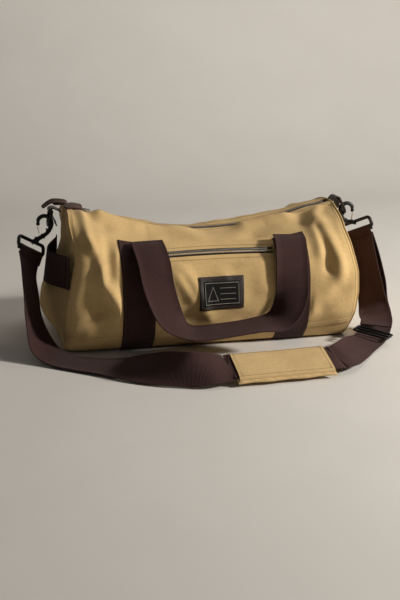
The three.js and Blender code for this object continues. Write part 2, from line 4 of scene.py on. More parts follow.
import bmesh
import bpy
import numpy as np
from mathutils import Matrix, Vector

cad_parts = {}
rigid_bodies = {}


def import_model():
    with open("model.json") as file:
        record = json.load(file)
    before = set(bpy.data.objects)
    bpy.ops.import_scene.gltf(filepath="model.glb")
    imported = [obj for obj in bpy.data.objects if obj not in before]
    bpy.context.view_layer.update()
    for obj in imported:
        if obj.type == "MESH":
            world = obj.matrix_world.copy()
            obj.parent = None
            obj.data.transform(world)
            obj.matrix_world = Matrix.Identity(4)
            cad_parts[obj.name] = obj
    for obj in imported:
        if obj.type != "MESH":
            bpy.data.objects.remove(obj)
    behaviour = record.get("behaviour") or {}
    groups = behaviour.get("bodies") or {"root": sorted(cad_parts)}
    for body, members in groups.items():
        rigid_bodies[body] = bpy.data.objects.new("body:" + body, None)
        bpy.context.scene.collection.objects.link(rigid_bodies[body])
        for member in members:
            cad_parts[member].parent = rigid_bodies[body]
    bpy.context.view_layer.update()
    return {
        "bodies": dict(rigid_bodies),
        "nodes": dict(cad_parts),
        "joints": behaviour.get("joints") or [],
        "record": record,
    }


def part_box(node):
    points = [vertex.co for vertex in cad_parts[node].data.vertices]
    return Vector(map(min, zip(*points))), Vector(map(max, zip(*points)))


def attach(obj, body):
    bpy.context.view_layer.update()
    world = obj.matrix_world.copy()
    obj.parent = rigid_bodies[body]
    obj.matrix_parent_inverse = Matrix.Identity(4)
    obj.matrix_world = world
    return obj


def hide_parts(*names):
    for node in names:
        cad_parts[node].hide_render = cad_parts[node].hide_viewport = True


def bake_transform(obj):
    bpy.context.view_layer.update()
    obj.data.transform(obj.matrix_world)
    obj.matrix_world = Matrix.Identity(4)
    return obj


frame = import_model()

MM = 0.001

# ---- driving dimensions, as in the CAD part ----
SEAM_X = 231
PEAK_SETBACK = 13
RIDGE_RADIUS = 560
RIDGE_MIDDLE = 169
HALF_DEPTH = 125
WIDEST_HEIGHT = 88
BASE_HALF = 80
UPPER_POWER = 2.3
LOWER_POWER = 2.4
END_BULGE = 29
DOME_HEIGHT = 60
WEB_WIDTH = 50
WEB_THICK = 2
BAND_X = 122
BAND_TOP = 166
BACK_BAND_TOP = 156
BASE_SEAM_HEIGHT = 24
POCKET_HALF_X = 96
POCKET_ZIP_HEIGHT = 148
CANVAS_THICK = 1.2
ZIP_END_X = 213


# ---- camera and light ----
# The camera comes from a least-squares fit to places picked on the photograph. Angles are in degrees.
CAMERA_PLACE = (-397.4, -1721.5, 524.2)
CAMERA_TILT = 90 - 15.09
CAMERA_TURN = -13
CAMERA_LENS = 67.1


def aim(thing, place, target):
    thing.location = Vector(place) * MM
    direction = (Vector(target) - Vector(place)).normalized()
    thing.rotation_euler = direction.to_track_quat("-Z", "Y").to_euler()


def make_camera():
    camera = bpy.data.objects.new("camera", bpy.data.cameras.new("camera"))
    bpy.context.scene.collection.objects.link(camera)
    camera.data.sensor_width = 36
    camera.data.lens = CAMERA_LENS
    camera.location = Vector(CAMERA_PLACE) * MM
    camera.rotation_euler = (math.radians(CAMERA_TILT), 0, math.radians(CAMERA_TURN))
    bpy.context.scene.camera = camera


def area_light(name, place, target, size, watts, colour):
    light = bpy.data.lights.new(name, "AREA")
    light.energy = watts
    light.size = size * MM
    light.color = colour
    thing = bpy.data.objects.new(name, light)
    bpy.context.scene.collection.objects.link(thing)
    aim(thing, place, target)


def make_lights():
    area_light("key", (1900, -1000, 1040), (0, 0, 80), 260, 67, (1.0, 0.95, 0.88))
    area_light("fill", (-300, -2400, 2000), (0, 0, 100), 1600, 2, (1.0, 0.97, 0.93))
    area_light("wall_wash", (900, 200, 2100), (200, 1500, 500), 900, 11, (1.0, 0.97, 0.92))
    world = bpy.data.worlds.new("studio")
    bpy.context.scene.world = world
    world.use_nodes = True
    background = world.node_tree.nodes["Background"]
    background.inputs["Color"].default_value = (0.62, 0.60, 0.57, 1)
    background.inputs["Strength"].default_value = 0.08
    bpy.context.scene.view_settings.view_transform = "Standard"


# ---- node material helpers ----
class Shader:
    """A material under construction: small calls that add nodes and join them."""

    def __init__(self, name, colour, roughness, metallic=0.0, **sockets):
        self.material = bpy.data.materials.new(name)
        self.material.use_nodes = True
        self.tree = self.material.node_tree
        self.surface = self.tree.nodes["Principled BSDF"]
        self.surface.inputs["Base Color"].default_value = (*colour, 1)
        self.surface.inputs["Roughness"].default_value = roughness
        self.surface.inputs["Metallic"].default_value = metallic
        for socket, value in sockets.items():
            self.surface.inputs[socket.replace("_", " ")].default_value = value
        self.bump = None

    def node(self, kind, **values):
        node = self.tree.nodes.new(kind)
        for key, value in values.items():
            setattr(node, key, value)
        return node

    def link(self, source, target):
        self.tree.links.new(source, target)

    def place(self, uv=False):
        coordinates = self.node("ShaderNodeTexCoord")
        return coordinates.outputs["UV" if uv else "Object"]

    def turned(self, vector, angle=0.0, scale=(1, 1, 1)):
        mapping = self.node("ShaderNodeMapping")
        mapping.inputs["Rotation"].default_value[2] = angle
        mapping.inputs["Scale"].default_value = scale
        self.link(vector, mapping.inputs["Vector"])
        return mapping.outputs["Vector"]

    def noise(self, vector, scale, detail=3.0, roughness=0.5):
        noise = self.node("ShaderNodeTexNoise")
        noise.inputs["Scale"].default_value = scale
        noise.inputs["Detail"].default_value = detail
        noise.inputs["Roughness"].default_value = roughness
        self.link(vector, noise.inputs["Vector"])
        return noise.outputs["Fac"]

    def wave(self, vector, pitch, direction="X", distortion=0.0):
        """Ridges a pitch apart, in metres."""
        wave = self.node("ShaderNodeTexWave", wave_type="BANDS", bands_direction=direction)
        wave.wave_profile = "SIN"
        wave.inputs["Scale"].default_value = math.pi / (10 * pitch)
        wave.inputs["Distortion"].default_value = distortion
        wave.inputs["Detail"].default_value = 1.0
        wave.inputs["Detail Scale"].default_value = 2.0
        self.link(vector, wave.inputs["Vector"])
        return wave.outputs["Fac"]

    def math(self, operation, a, b):
        node = self.node("ShaderNodeMath", operation=operation)
        for socket, value in zip(node.inputs, (a, b)):
            if isinstance(value, (int, float)):
                socket.default_value = value
            else:
                self.link(value, socket)
        return node.outputs[0]

    def ramp(self, factor, stops):
        ramp = self.node("ShaderNodeValToRGB")
        elements = ramp.color_ramp.elements
        while len(elements) < len(stops):
            elements.new(0.5)
        for element, (position, colour) in zip(elements, stops):
            element.position = position
            element.color = (*colour, 1)
        self.link(factor, ramp.inputs["Fac"])
        return ramp.outputs["Color"]

    def mix(self, factor, a, b, blend="MIX"):
        mix = self.node("ShaderNodeMix", data_type="RGBA", blend_type=blend)
        mix.inputs["Factor"].default_value = factor
        self.link(a, mix.inputs["A"])
        self.link(b, mix.inputs["B"])
        return mix.outputs["Result"]

    def colour(self, source):
        self.link(source, self.surface.inputs["Base Color"])

    def rough(self, factor, low, high):
        span = self.node("ShaderNodeMapRange")
        span.inputs["To Min"].default_value = low
        span.inputs["To Max"].default_value = high
        self.link(factor, span.inputs["Value"])
        self.link(span.outputs["Result"], self.surface.inputs["Roughness"])

    def raise_by(self, height, distance, strength=1.0):
        """Bump of the given depth, in metres, on top of what is already there."""
        bump = self.node("ShaderNodeBump")
        bump.inputs["Distance"].default_value = distance
        bump.inputs["Strength"].default_value = strength
        self.link(height, bump.inputs["Height"])
        if self.bump is not None:
            self.link(self.bump, bump.inputs["Normal"])
        self.bump = bump.outputs["Normal"]
        self.link(self.bump, self.surface.inputs["Normal"])


def shade(tone, factor):
    """The tone made darker or lighter, up to full white."""
    return tuple(min(1.0, factor * c) for c in tone)


def canvas_material(name, tone):
    """Cotton twill: diagonal wales over crossing yarns, slubs, and soft mottling."""
    shader = Shader(name, tone, 0.9, Sheen_Weight=0.06, Sheen_Roughness=0.5, Specular_IOR_Level=0.15)
    uv = shader.place(uv=True)
    place = shader.place()
    mottling = shader.noise(place, 14, 4, 0.6)
    flecks = shader.noise(place, 420, 3, 0.7)
    slubs = shader.noise(shader.turned(uv, 0, (220, 2600, 1)), 1.0, 2)
    cross = shader.noise(shader.turned(uv, 0, (2600, 220, 1)), 1.0, 2)
    dark = shade(tone, 0.80)
    light = shade(tone, 1.14)
    base = shader.ramp(mottling, [(0.25, dark), (0.5, tone), (0.78, light)])
    threads = shader.math("ADD", slubs, cross)
    yarn = shader.ramp(threads, [(0.35, (0.80, 0.79, 0.77)), (0.62, (1.0, 1.0, 1.0))])
    fleck_tone = shader.ramp(flecks, [(0.3, (0.80, 0.78, 0.74)), (0.6, (1.0, 1.0, 1.0))])
    shader.colour(shader.mix(0.8, shader.mix(0.85, base, yarn, "MULTIPLY"), fleck_tone, "MULTIPLY"))
    wales = shader.wave(shader.turned(uv, math.radians(45)), 0.0011)
    weft = shader.wave(uv, 0.0007, "Y")
    shader.raise_by(wales, 0.00016, 0.8)
    shader.raise_by(weft, 0.00008, 0.7)
    shader.raise_by(shader.noise(place, 160, 3, 0.6), 0.0006, 0.35)
    shader.rough(mottling, 0.82, 0.95)
    return shader.material


def webbing_material(name, tone):
    """Heavy cotton webbing: cross ribs, lengthwise yarns, painted shade in the rib hollows and painted
    highlight on the rib tops.
    """
    shader = Shader(name, tone, 0.85, Sheen_Weight=0.05, Sheen_Roughness=0.4, Specular_IOR_Level=0.2)
    uv = shader.place(uv=True)
    ribs = shader.wave(uv, 0.0017, "X", 0.3)
    yarns = shader.wave(uv, 0.0011, "Y", 0.3)
    height = shader.math("ADD", ribs, shader.math("MULTIPLY", yarns, 0.6))
    wear = shader.noise(shader.place(), 45, 4, 0.65)
    dark = shade(tone, 0.62)
    light = shade(tone, 1.35)
    # The colour follows the rib height: painted shade between the ribs and painted highlight on the rib tops.
    rib_painted_light = shader.ramp(height, [(0.2, dark), (0.75, tone), (1.0, light)])
    shader.colour(shader.mix(0.5, rib_painted_light, shader.ramp(wear, [(0.3, dark), (0.6, tone), (0.75, light)])))
    shader.raise_by(height, 0.00035, 0.9)
    shader.raise_by(shader.noise(shader.place(), 900, 2), 0.0002, 0.5)
    shader.rough(wear, 0.7, 0.9)
    return shader.material


def leather_material(name, tone):
    shader = Shader(name, tone, 0.5, Specular_IOR_Level=0.35, Coat_Weight=0.06, Coat_Roughness=0.4)
    place = shader.place()
    wear = shader.noise(place, 90, 5, 0.65)
    grain = shader.node("ShaderNodeTexVoronoi", feature="DISTANCE_TO_EDGE")
    grain.inputs["Scale"].default_value = 1300
    shader.link(place, grain.inputs["Vector"])
    dark = shade(tone, 0.5)
    light = shade(tone, 1.9)
    shader.colour(shader.ramp(wear, [(0.3, dark), (0.52, tone), (0.78, light)]))
    shader.raise_by(grain.outputs["Distance"], 0.0002, 0.6)
    shader.raise_by(wear, 0.0008, 0.5)
    shader.rough(wear, 0.38, 0.7)
    return shader.material


def plastic_material(name, tone):
    shader = Shader(name, tone, 0.4, Specular_IOR_Level=0.3)
    place = shader.place()
    marks = shader.noise(place, 260, 4, 0.6)
    shader.rough(marks, 0.3, 0.5)
    shader.colour(shader.ramp(marks, [(0.3, tone), (0.8, shade(tone, 1.8))]))
    shader.raise_by(shader.noise(place, 1400, 2), 0.00006, 0.5)
    return shader.material


def metal_material(name, tone, roughness):
    shader = Shader(name, tone, roughness, metallic=1.0)
    place = shader.place()
    tarnish = shader.noise(place, 380, 5, 0.65)
    dark = shade(tone, 0.45)
    shader.colour(shader.ramp(tarnish, [(0.35, dark), (0.6, tone)]))
    shader.rough(tarnish, roughness + 0.22, roughness - 0.06)
    shader.raise_by(tarnish, 0.00008, 0.6)
    return shader.material


def thread_material(name, tone):
    shader = Shader(name, tone, 0.7, Sheen_Weight=0.3)
    place = shader.place()
    twist = shader.noise(place, 2600, 2)
    shader.colour(shader.ramp(twist, [(0.3, shade(tone, 0.6)), (0.7, tone)]))
    shader.raise_by(twist, 0.0001, 0.6)
    return shader.material


def label_material(name, tone):
    shader = Shader(name, tone, 0.8, Specular_IOR_Level=0.15)
    uv = shader.place(uv=True)
    satin = shader.wave(shader.turned(uv, math.radians(62)), 0.00045)
    # The colour follows the weave's height: painted shade between the satin floats and painted highlight on
    # them.
    shader.colour(shader.ramp(satin, [(0.0, shade(tone, 0.6)), (1.0, shade(tone, 1.5))]))
    shader.raise_by(satin, 0.00008, 0.8)
    shader.rough(shader.noise(shader.place(), 300), 0.6, 0.85)
    return shader.material


def floor_material():
    shader = Shader("pale_floor", (0.66, 0.635, 0.60), 0.85)
    grain = shader.noise(shader.place(), 6, 4)
    shader.colour(shader.ramp(grain, [(0.3, (0.645, 0.62, 0.585)), (0.7, (0.67, 0.645, 0.61))]))
    return shader.material


CANVAS = canvas_material("khaki_canvas", (0.60, 0.415, 0.19))
PAD_CANVAS = canvas_material("pad_canvas", (0.58, 0.41, 0.20))
WEBBING = webbing_material("maroon_brown_webbing", (0.046, 0.020, 0.018))
TAPE = webbing_material("zip_tape_weave", (0.026, 0.017, 0.013))
LEATHER = leather_material("dark_leather", (0.042, 0.021, 0.015))
PLASTIC = plastic_material("black_acetal", (0.006, 0.006, 0.0065))
NICKEL = metal_material("antique_nickel", (0.42, 0.38, 0.34), 0.34)
BRIGHT_NICKEL = metal_material("bright_nickel", (0.62, 0.59, 0.54), 0.28)
WIRE = metal_material("bright_wire", (0.78, 0.78, 0.78), 0.18)
KHAKI_THREAD = thread_material("khaki_thread", (0.26, 0.165, 0.07))
DARK_THREAD = thread_material("dark_thread", (0.07, 0.035, 0.03))
PALE_THREAD = thread_material("pale_label_thread", (0.50, 0.47, 0.38))
LABEL = label_material("black_damask", (0.007, 0.0065, 0.006))
PATCH_LEATHER = leather_material("patch_leather", (0.022, 0.014, 0.011))


# ---- meshes ----
SHARP_ANGLE = math.radians(48)


def mesh_piece(name, points, faces, material, uvs=None):
    """A mesh object from points in millimetres. uvs holds one pair for each point, in metres."""
    mesh = bpy.data.meshes.new(name)
    mesh.from_pydata([tuple(p) for p in np.asarray(points) * MM], [], faces)
    if uvs is not None:
        layer = mesh.uv_layers.new(name="UVMap")
        corners = np.zeros(len(mesh.loops), dtype=np.int32)
        mesh.loops.foreach_get("vertex_index", corners)
        layer.data.foreach_set("uv", np.asarray(uvs, dtype=np.float32)[corners].ravel())
    mesh.polygons.foreach_set("use_smooth", [True] * len(mesh.polygons))
    mesh.materials.append(material)
    mesh.update()
    mesh.set_sharp_from_angle(angle=SHARP_ANGLE)
    piece = bpy.data.objects.new(name, mesh)
    bpy.context.scene.collection.objects.link(piece)
    return piece


def finish_piece(piece, body, slot, *nodes):
    """A piece in its place: what it rides on, its material slot, which is not used, and the CAD nodes it
    stands for.
    """
    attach(piece, body)
    if nodes:
        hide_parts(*nodes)
    return piece


def unit(vectors):
    return vectors / np.maximum(np.linalg.norm(vectors, axis=-1, keepdims=True), 1e-9)


def distances(path):
    """How far along a path each of its points is."""
    return np.concatenate([[0], np.cumsum(np.linalg.norm(np.diff(path, axis=0), axis=1))])


def smooth_step(value, low, high):
    t = np.clip((value - low) / (high - low), 0, 1)
    return t * t * (3 - 2 * t)


def grid_faces(rows, columns, start=0, close_rows=False, close_columns=False, flip=False):
    faces = []
    for r in range(rows if close_rows else rows - 1):
        for c in range(columns if close_columns else columns - 1):
            a = start + r * columns + c
            b = start + r * columns + (c + 1) % columns
            d = start + ((r + 1) % rows) * columns + c
            e = start + ((r + 1) % rows) * columns + (c + 1) % columns
            faces.append((a, d, e, b) if flip else (a, b, e, d))
    return faces


def slab(outer, inner):
    """Points and faces of a closed sheet between two grids of the same size, outside first."""
    rows, columns = outer.shape[:2]
    points = np.concatenate([outer.reshape(-1, 3), inner.reshape(-1, 3)])
    count = rows * columns
    faces = grid_faces(rows, columns) + grid_faces(rows, columns, count, flip=True)
    rim = list(range(columns))
    rim += [r * columns + columns - 1 for r in range(1, rows)]
    rim += [(rows - 1) * columns + c for c in range(columns - 2, -1, -1)]
    rim += [r * columns for r in range(rows - 2, 0, -1)]
    for a, b in zip(rim, rim[1:] + rim[:1]):
        faces.append((b, a, a + count, b + count))
    return points, faces


def grid_uvs(outer):
    """Distances along the middle row and middle column of a grid, in metres."""
    rows, columns = outer.shape[:2]
    u = distances(outer[rows // 2]) * MM
    v = distances(outer[:, columns // 2]) * MM
    flat = np.stack(np.meshgrid(u, v), axis=-1).reshape(-1, 2)
    return np.concatenate([flat, flat])


def sheet_piece(name, outer, inner, material, turn_uv=False):
    points, faces = slab(outer, inner)
    uvs = grid_uvs(outer)
    if turn_uv:
        uvs = uvs[:, ::-1]
    return mesh_piece(name, points, faces, material, uvs)


def joined(name, parts, material):
    """One piece from several (points, faces) pairs."""
    points, faces, start = [], [], 0
    for part_points, part_faces in parts:
        points.append(np.asarray(part_points))
        faces += [tuple(start + i for i in face) for face in part_faces]
        start += len(part_points)
    return mesh_piece(name, np.concatenate(points), faces, material)


def curve_through(points, count):
    """A smooth Catmull-Rom curve through the points, evenly spaced."""
    points = np.asarray(points, dtype=float)
    ends = np.concatenate([[2 * points[0] - points[1]], points, [2 * points[-1] - points[-2]]])
    dense = []
    for i in range(1, len(ends) - 2):
        p0, p1, p2, p3 = ends[i - 1 : i + 3]
        t = np.linspace(0, 1, 24, endpoint=False)[:, None]
        square = (2 * p0 - 5 * p1 + 4 * p2 - p3) * t**2
        cube = (3 * p1 - p0 - 3 * p2 + p3) * t**3
        dense.append(0.5 * (2 * p1 + (p2 - p0) * t + square + cube))
    dense = np.concatenate(dense + [points[-1:]])
    length = distances(dense[:, :3])
    places = np.linspace(0, length[-1], count)
    return np.stack([np.interp(places, length, dense[:, k]) for k in range(dense.shape[1])], axis=1)


def tube(path, radius, sides=10, closed=False):
    """A round bar along a path; radius is one number or one for each point."""
    path = np.asarray(path, dtype=float)
    count = len(path)
    radii = np.broadcast_to(radius, count)
    following = np.roll(path, -1, axis=0) if closed else np.vstack([path[1:], 2 * path[-1] - path[-2]])
    before = np.roll(path, 1, axis=0) if closed else np.vstack([2 * path[0] - path[1], path[:-1]])
    tangent = unit(following - before)
    normal = np.zeros((count, 3))
    seed = np.cross(tangent[0], (0.31, 0.17, 0.93))
    normal[0] = seed / np.linalg.norm(seed)
    for i in range(1, count):
        step = normal[i - 1] - tangent[i] * np.dot(normal[i - 1], tangent[i])
        normal[i] = step / np.linalg.norm(step)
    side = np.cross(tangent, normal)
    angles = np.linspace(0, 2 * math.pi, sides, endpoint=False)
    ring = normal[:, None] * np.cos(angles)[None, :, None] + side[:, None] * np.sin(angles)[None, :, None]
    points = (path[:, None] + ring * radii[:, None, None]).reshape(-1, 3)
    faces = grid_faces(count, sides, close_rows=closed, close_columns=True, flip=True)
    if not closed:
        faces += [tuple(range(sides)), tuple(range(count * sides - 1, (count - 1) * sides - 1, -1))]
    return points, faces


def frame_along(route, count):
    """Centres, width directions and normals along a route of (centre, width direction) pairs."""
    rows = np.array([(*centre, *across) for centre, across in route], dtype=float)
    path = curve_through(rows, count)
    tangent = unit(np.gradient(path[:, :3], axis=0))
    across = unit(path[:, 3:] - tangent * np.sum(path[:, 3:] * tangent, axis=1, keepdims=True))
    return path[:, :3], across, np.cross(tangent, across)


# A webbing's cross-section: half widths and heights as shares, once round, with rolled selvedges.
WEB_PROFILE = [(-1.0, -0.3), (-0.985, -0.8), (-0.95, -1.0), (-0.93, -0.72), (-0.55, -0.78), (-0.18, -0.78)]
WEB_PROFILE += [(-u, v) for u, v in WEB_PROFILE[::-1]]
WEB_PROFILE += [(-u, -v) for u, v in WEB_PROFILE]


def webbing(name, route, width, thick, material, count, wave=0.0, turns=0.0):
    """A band of webbing along a route of (centre, width direction) pairs, with a soft ripple."""
    centres, across, normal = frame_along(route, count)
    length = distances(centres)
    points, uvs = [], []
    perimeter = np.cumsum([0] + [math.dist(a, b) for a, b in zip(WEB_PROFILE, WEB_PROFILE[1:])])
    for i in range(count):
        bow = wave * math.sin(turns * 2 * math.pi * length[i] / length[-1])
        for k, (u, v) in enumerate(WEB_PROFILE):
            cup = bow * (1 - u * u)
            points.append(centres[i] + across[i] * u * width / 2 + normal[i] * (v * thick / 2 + cup))
            uvs.append((length[i] * MM, perimeter[k] * width / 2 * MM))
    sides = len(WEB_PROFILE)
    faces = grid_faces(count, sides, close_columns=True)
    faces += [tuple(range(sides - 1, -1, -1)), tuple(range((count - 1) * sides, count * sides))]
    return mesh_piece(name, points, faces, material, uvs)


def stitch_parts(path, normals, pitch=3.2, length=2.3, radius=0.34):
    """Short threads laid end to end along a path, half sunk in the cloth."""
    steps = distances(path)
    parts = []
    for place in np.arange(pitch / 2, steps[-1] - length / 2, pitch):
        spots = np.linspace(place - length / 2, place + length / 2, 5)
        middle = np.stack([np.interp(spots, steps, path[:, k]) for k in range(3)], axis=1)
        out = unit(np.array([np.interp(place, steps, normals[:, k]) for k in range(3)]))
        humps = np.array([-0.5, 0.35, 0.6, 0.35, -0.5]) * radius
        parts.append(tube(middle + out * humps[:, None], radius * np.array([0.5, 0.95, 1, 0.95, 0.5]), 6))
    return parts


def box_parts(low, high, bevel):
    """A box with bevelled edges, as (points, faces)."""
    low, high = np.array(low, float), np.array(high, float)
    middle, half = (low + high) / 2, (high - low) / 2
    mesh = bmesh.new()
    bmesh.ops.create_cube(mesh, size=2)
    for vertex in mesh.verts:
        vertex.co = Vector(np.array(vertex.co) * half)
    edges = list(mesh.edges)
    bmesh.ops.bevel(mesh, geom=edges, offset=bevel, segments=2, affect="EDGES", profile=0.6)
    mesh.verts.ensure_lookup_table()
    points = np.array([tuple(v.co) for v in mesh.verts]) + middle
    faces = [tuple(v.index for v in face.verts) for face in mesh.faces]
    mesh.free()
    return points, faces


def placed(part, origin, x_axis, z_axis):
    """A part made round the origin, moved to origin with its local X and Z along those directions."""
    points, faces = part
    x_dir = unit(np.array(x_axis, float))
    z_dir = unit(np.array(z_axis, float) - x_dir * np.dot(z_axis, x_dir))
    y_dir = np.cross(z_dir, x_dir)
    return np.array(origin) + points @ np.stack([x_dir, y_dir, z_dir]), faces


# ---- the body's skin ----
FRONT = -1
BACK = 1


def ridge_height(x):
    reach = np.minimum(np.abs(x), SEAM_X - PEAK_SETBACK)
    return RIDGE_MIDDLE + RIDGE_RADIUS - np.sqrt(RIDGE_RADIUS**2 - reach**2)


def section(x, degrees, side):
    """The bag's cross-section at x: -90 is the base edge, 0 the widest place and 90 the ridge."""
    angle = np.radians(degrees)
    c = np.maximum(np.cos(angle), 0)
    s = np.abs(np.sin(angle))
    upper_y = HALF_DEPTH * c ** (2 / UPPER_POWER)
    upper_z = WIDEST_HEIGHT + (ridge_height(x) - WIDEST_HEIGHT) * s ** (2 / UPPER_POWER)
    lower_y = BASE_HALF + (HALF_DEPTH - BASE_HALF) * c ** (2 / LOWER_POWER)
    lower_z = WIDEST_HEIGHT - WIDEST_HEIGHT * s ** (2 / LOWER_POWER)
    above = degrees >= 0
    return np.stack([x, side * np.where(above, upper_y, lower_y), np.where(above, upper_z, lower_z)], axis=-1)


def skin_normal(x, degrees, side):
    middle = np.clip(degrees, -88, 88)
    turn = section(x, middle + 1, side) - section(x, middle - 1, side)
    run = section(x + 2, middle, side) - section(x - 2, middle, side)
    return unit(np.cross(run, turn) * -side)


def degrees_at_height(x, z):
    z = np.asarray(z, float)
    up = np.clip((z - WIDEST_HEIGHT) / (ridge_height(x) - WIDEST_HEIGHT), 0, 1) ** (UPPER_POWER / 2)
    down = np.clip((WIDEST_HEIGHT - z) / WIDEST_HEIGHT, 0, 1) ** (LOWER_POWER / 2)
    return np.degrees(np.where(z >= WIDEST_HEIGHT, np.arcsin(up), -np.arcsin(down)))


def degrees_at_depth(y):
    return np.degrees(np.arccos(np.clip(abs(y) / HALF_DEPTH, 0, 1) ** (UPPER_POWER / 2)))


def seam_x(degrees):
    return SEAM_X - PEAK_SETBACK * np.maximum(0, np.sin(np.radians(degrees))) ** 4


# How far the soft ends have slumped inward along the bag at these heights. Most of the heights and of
# the values for the right end were measured on the photograph by a helper program, and then rounded.
SETTLE_HEIGHTS = [0, 14, 47, 80, 111, 141, 169, 183, 197, 215]
SETTLE_LEFT = [0, 0, 0, 4, 12, 18, 17, 12, 7, 4]
SETTLE_RIGHT = [14, 12, 6, 3, 4, 10, 13, 14, 11, 7]
# How much narrower the bag is at its rolled left and right corners, and along its undercut base.
LEFT_CORNER = 0.17
RIGHT_CORNER = 0.07
UNDERCUT = 0.07
RIGHT_PEAK_DROP = 8


def settle(points):
    """Points of the bag's full outline moved in to where the slumped ends hold them."""
    x, y, z = np.moveaxis(np.asarray(points, float), -1, 0)
    left, right = np.interp(z, SETTLE_HEIGHTS, SETTLE_LEFT), np.interp(z, SETTLE_HEIGHTS, SETTLE_RIGHT)
    pull = np.where(x < 0, left, right) * smooth_step(np.abs(x), 140, 225)
    pull = pull * (0.35 + 0.65 * smooth_step(np.abs(y), 5, 60))
    rolled = np.clip((np.abs(x) - 192) / 40, 0, 0.99)
    corner = np.where(x < 0, LEFT_CORNER, RIGHT_CORNER) * (1 - np.sqrt(1 - rolled**2))
    narrowed = y * (1 - corner) * (1 - UNDERCUT * smooth_step(z, 50, 6))
    sunk = RIGHT_PEAK_DROP * smooth_step(x, 165, 222) * smooth_step(z, 120, 190)
    return np.stack([x - np.sign(x) * pull, narrowed, z - sunk], axis=-1)


def even_degrees(low, high, count):
    """Section angles that are evenly spaced along the skin between two angles."""
    dense = np.linspace(low, high, 400)
    points = section(np.full(400, 120.0), dense, FRONT)
    length = distances(points)
    return np.interp(np.linspace(0, length[-1], count), length, dense)


# Folds of the cloth: a line of points, its half width and its height, all in millimetres. A pair of
# heights is for a fold that grows or dies away along its line.
# Many points of the front folds were measured on the photograph: a helper program cast places picked
# on it through a fitted camera and printed them in millimetres. Others were adjusted. The back folds
# are invented.
FRONT_FOLDS = [
    (
        [(-203, -35, 204), (-206, -92, 177), (-197, -114, 142)]
        + [(-181, -123, 114), (-156, -124, 87), (-149, -124, 71)],
        9,
        10.5,
    ),
    ([(-202, -113, 150), (-193, -125, 92), (-186, -124, 70)], 8, -8),
    ([(-214, -60, 190), (-214, -112, 140), (-216, -122, 90)], 9, -3),
    ([(-182, -38, 196), (-167, -51, 188)], 10, -4),
    ([(-168, -92, 165), (-169, -120, 123)], 9, -3.5),
    ([(-184, -84, 177), (-184, -118, 133)], 7, 2.5),
    ([(-152, -104, 152), (-162, -124, 102), (-156, -125, 84)], 9, 3.5),
    ([(-178, -124, 76), (-186, -121, 56), (-208, -117, 44)], 8, -3.5),
    ([(-186, -123, 62), (-160, -121, 44)], 7, 2.5),
    ([(-222, -100, 60), (-196, -112, 36)], 8, 2.5),
    ([(175, -80, 178), (181, -109, 149), (180, -122, 122)], 6, -5),
    ([(193, -26, 202), (173, -80, 177), (169, -112, 144)], 8, 3.5),
    ([(190, -70, 188), (201, -112, 148), (199, -123, 113)], 9, 4),
    ([(207, -118, 130), (196, -125, 104), (172, -124, 76), (150, -124, 63)], 10, 4.5),
    ([(196, -121, 82), (170, -121, 60)], 9, -3.5),
    ([(214, -100, 150), (219, -122, 90)], 8, -2.5),
    ([(157, -32, 190), (150, -60, 178)], 11, -3.5),
    ([(70, -66, 164), (32, -84, 153), (-10, -88, 151)], 9, -3.5),
    ([(-47, -31, 169), (5, -76, 156), (60, -95, 149), (92, -99, 147)], 14, 4.5),
    ([(-168, -26, 197), (-128, -27, 188), (-86, -27, 179), (-34, -27, 173)], 13, (15, 4)),
    ([(-73, -124, 136), (-43, -125, 87)], 5, 2.6),
    ([(-50, -124, 134), (-14, -124, 52)], 6, 2.4),
    ([(-62, -124, 132), (-34, -125, 84)], 5, -2),
    ([(0, -124, 134), (12, -125, 116)], 5, 1.8),
    ([(66, -28, 174), (96, -27, 179), (130, -28, 186)], 11, 9),
    ([(-57, -112, 131), (-45, -124, 100), (-30, -124, 76)], 10, 3),
    ([(-20, -124, 66), (30, -125, 78)], 14, 2.5),
    ([(44, -112, 131), (70, -125, 96)], 12, 2.2),
    ([(-90, -88, 158), (-60, -100, 146)], 9, 2.5),
    ([(-80, -124, 60), (-30, -119, 40)], 9, -2),
    ([(40, -119, 42), (96, -121, 50)], 10, -2),
]
BACK_FOLDS = [
    ([(-200, 40, 200), (-196, 100, 160), (-176, 124, 104), (-150, 124, 74)], 10, 5.5),
    ([(-206, 110, 150), (-198, 125, 96)], 9, -4.5),
    ([(-170, 70, 172), (-160, 118, 120)], 9, -3),
    ([(184, 70, 184), (190, 116, 138), (176, 125, 92), (150, 124, 66)], 11, 5),
    ([(204, 112, 138), (196, 124, 96)], 8, -4),
    ([(-125, 34, 185), (-88, 36, 178)], 13, 6),
    ([(40, 40, 170), (120, 34, 184)], 13, 5),
    ([(-70, 90, 156), (0, 118, 124), (64, 124, 84)], 14, 4),
    ([(20, 70, 160), (80, 104, 142)], 12, 3),
    ([(-60, 124, 88), (-20, 122, 54)], 12, -2.5),
    ([(-84, 60, 168), (-40, 100, 142)], 10, -3),
    ([(60, 120, 118), (84, 125, 84)], 10, 2),
]


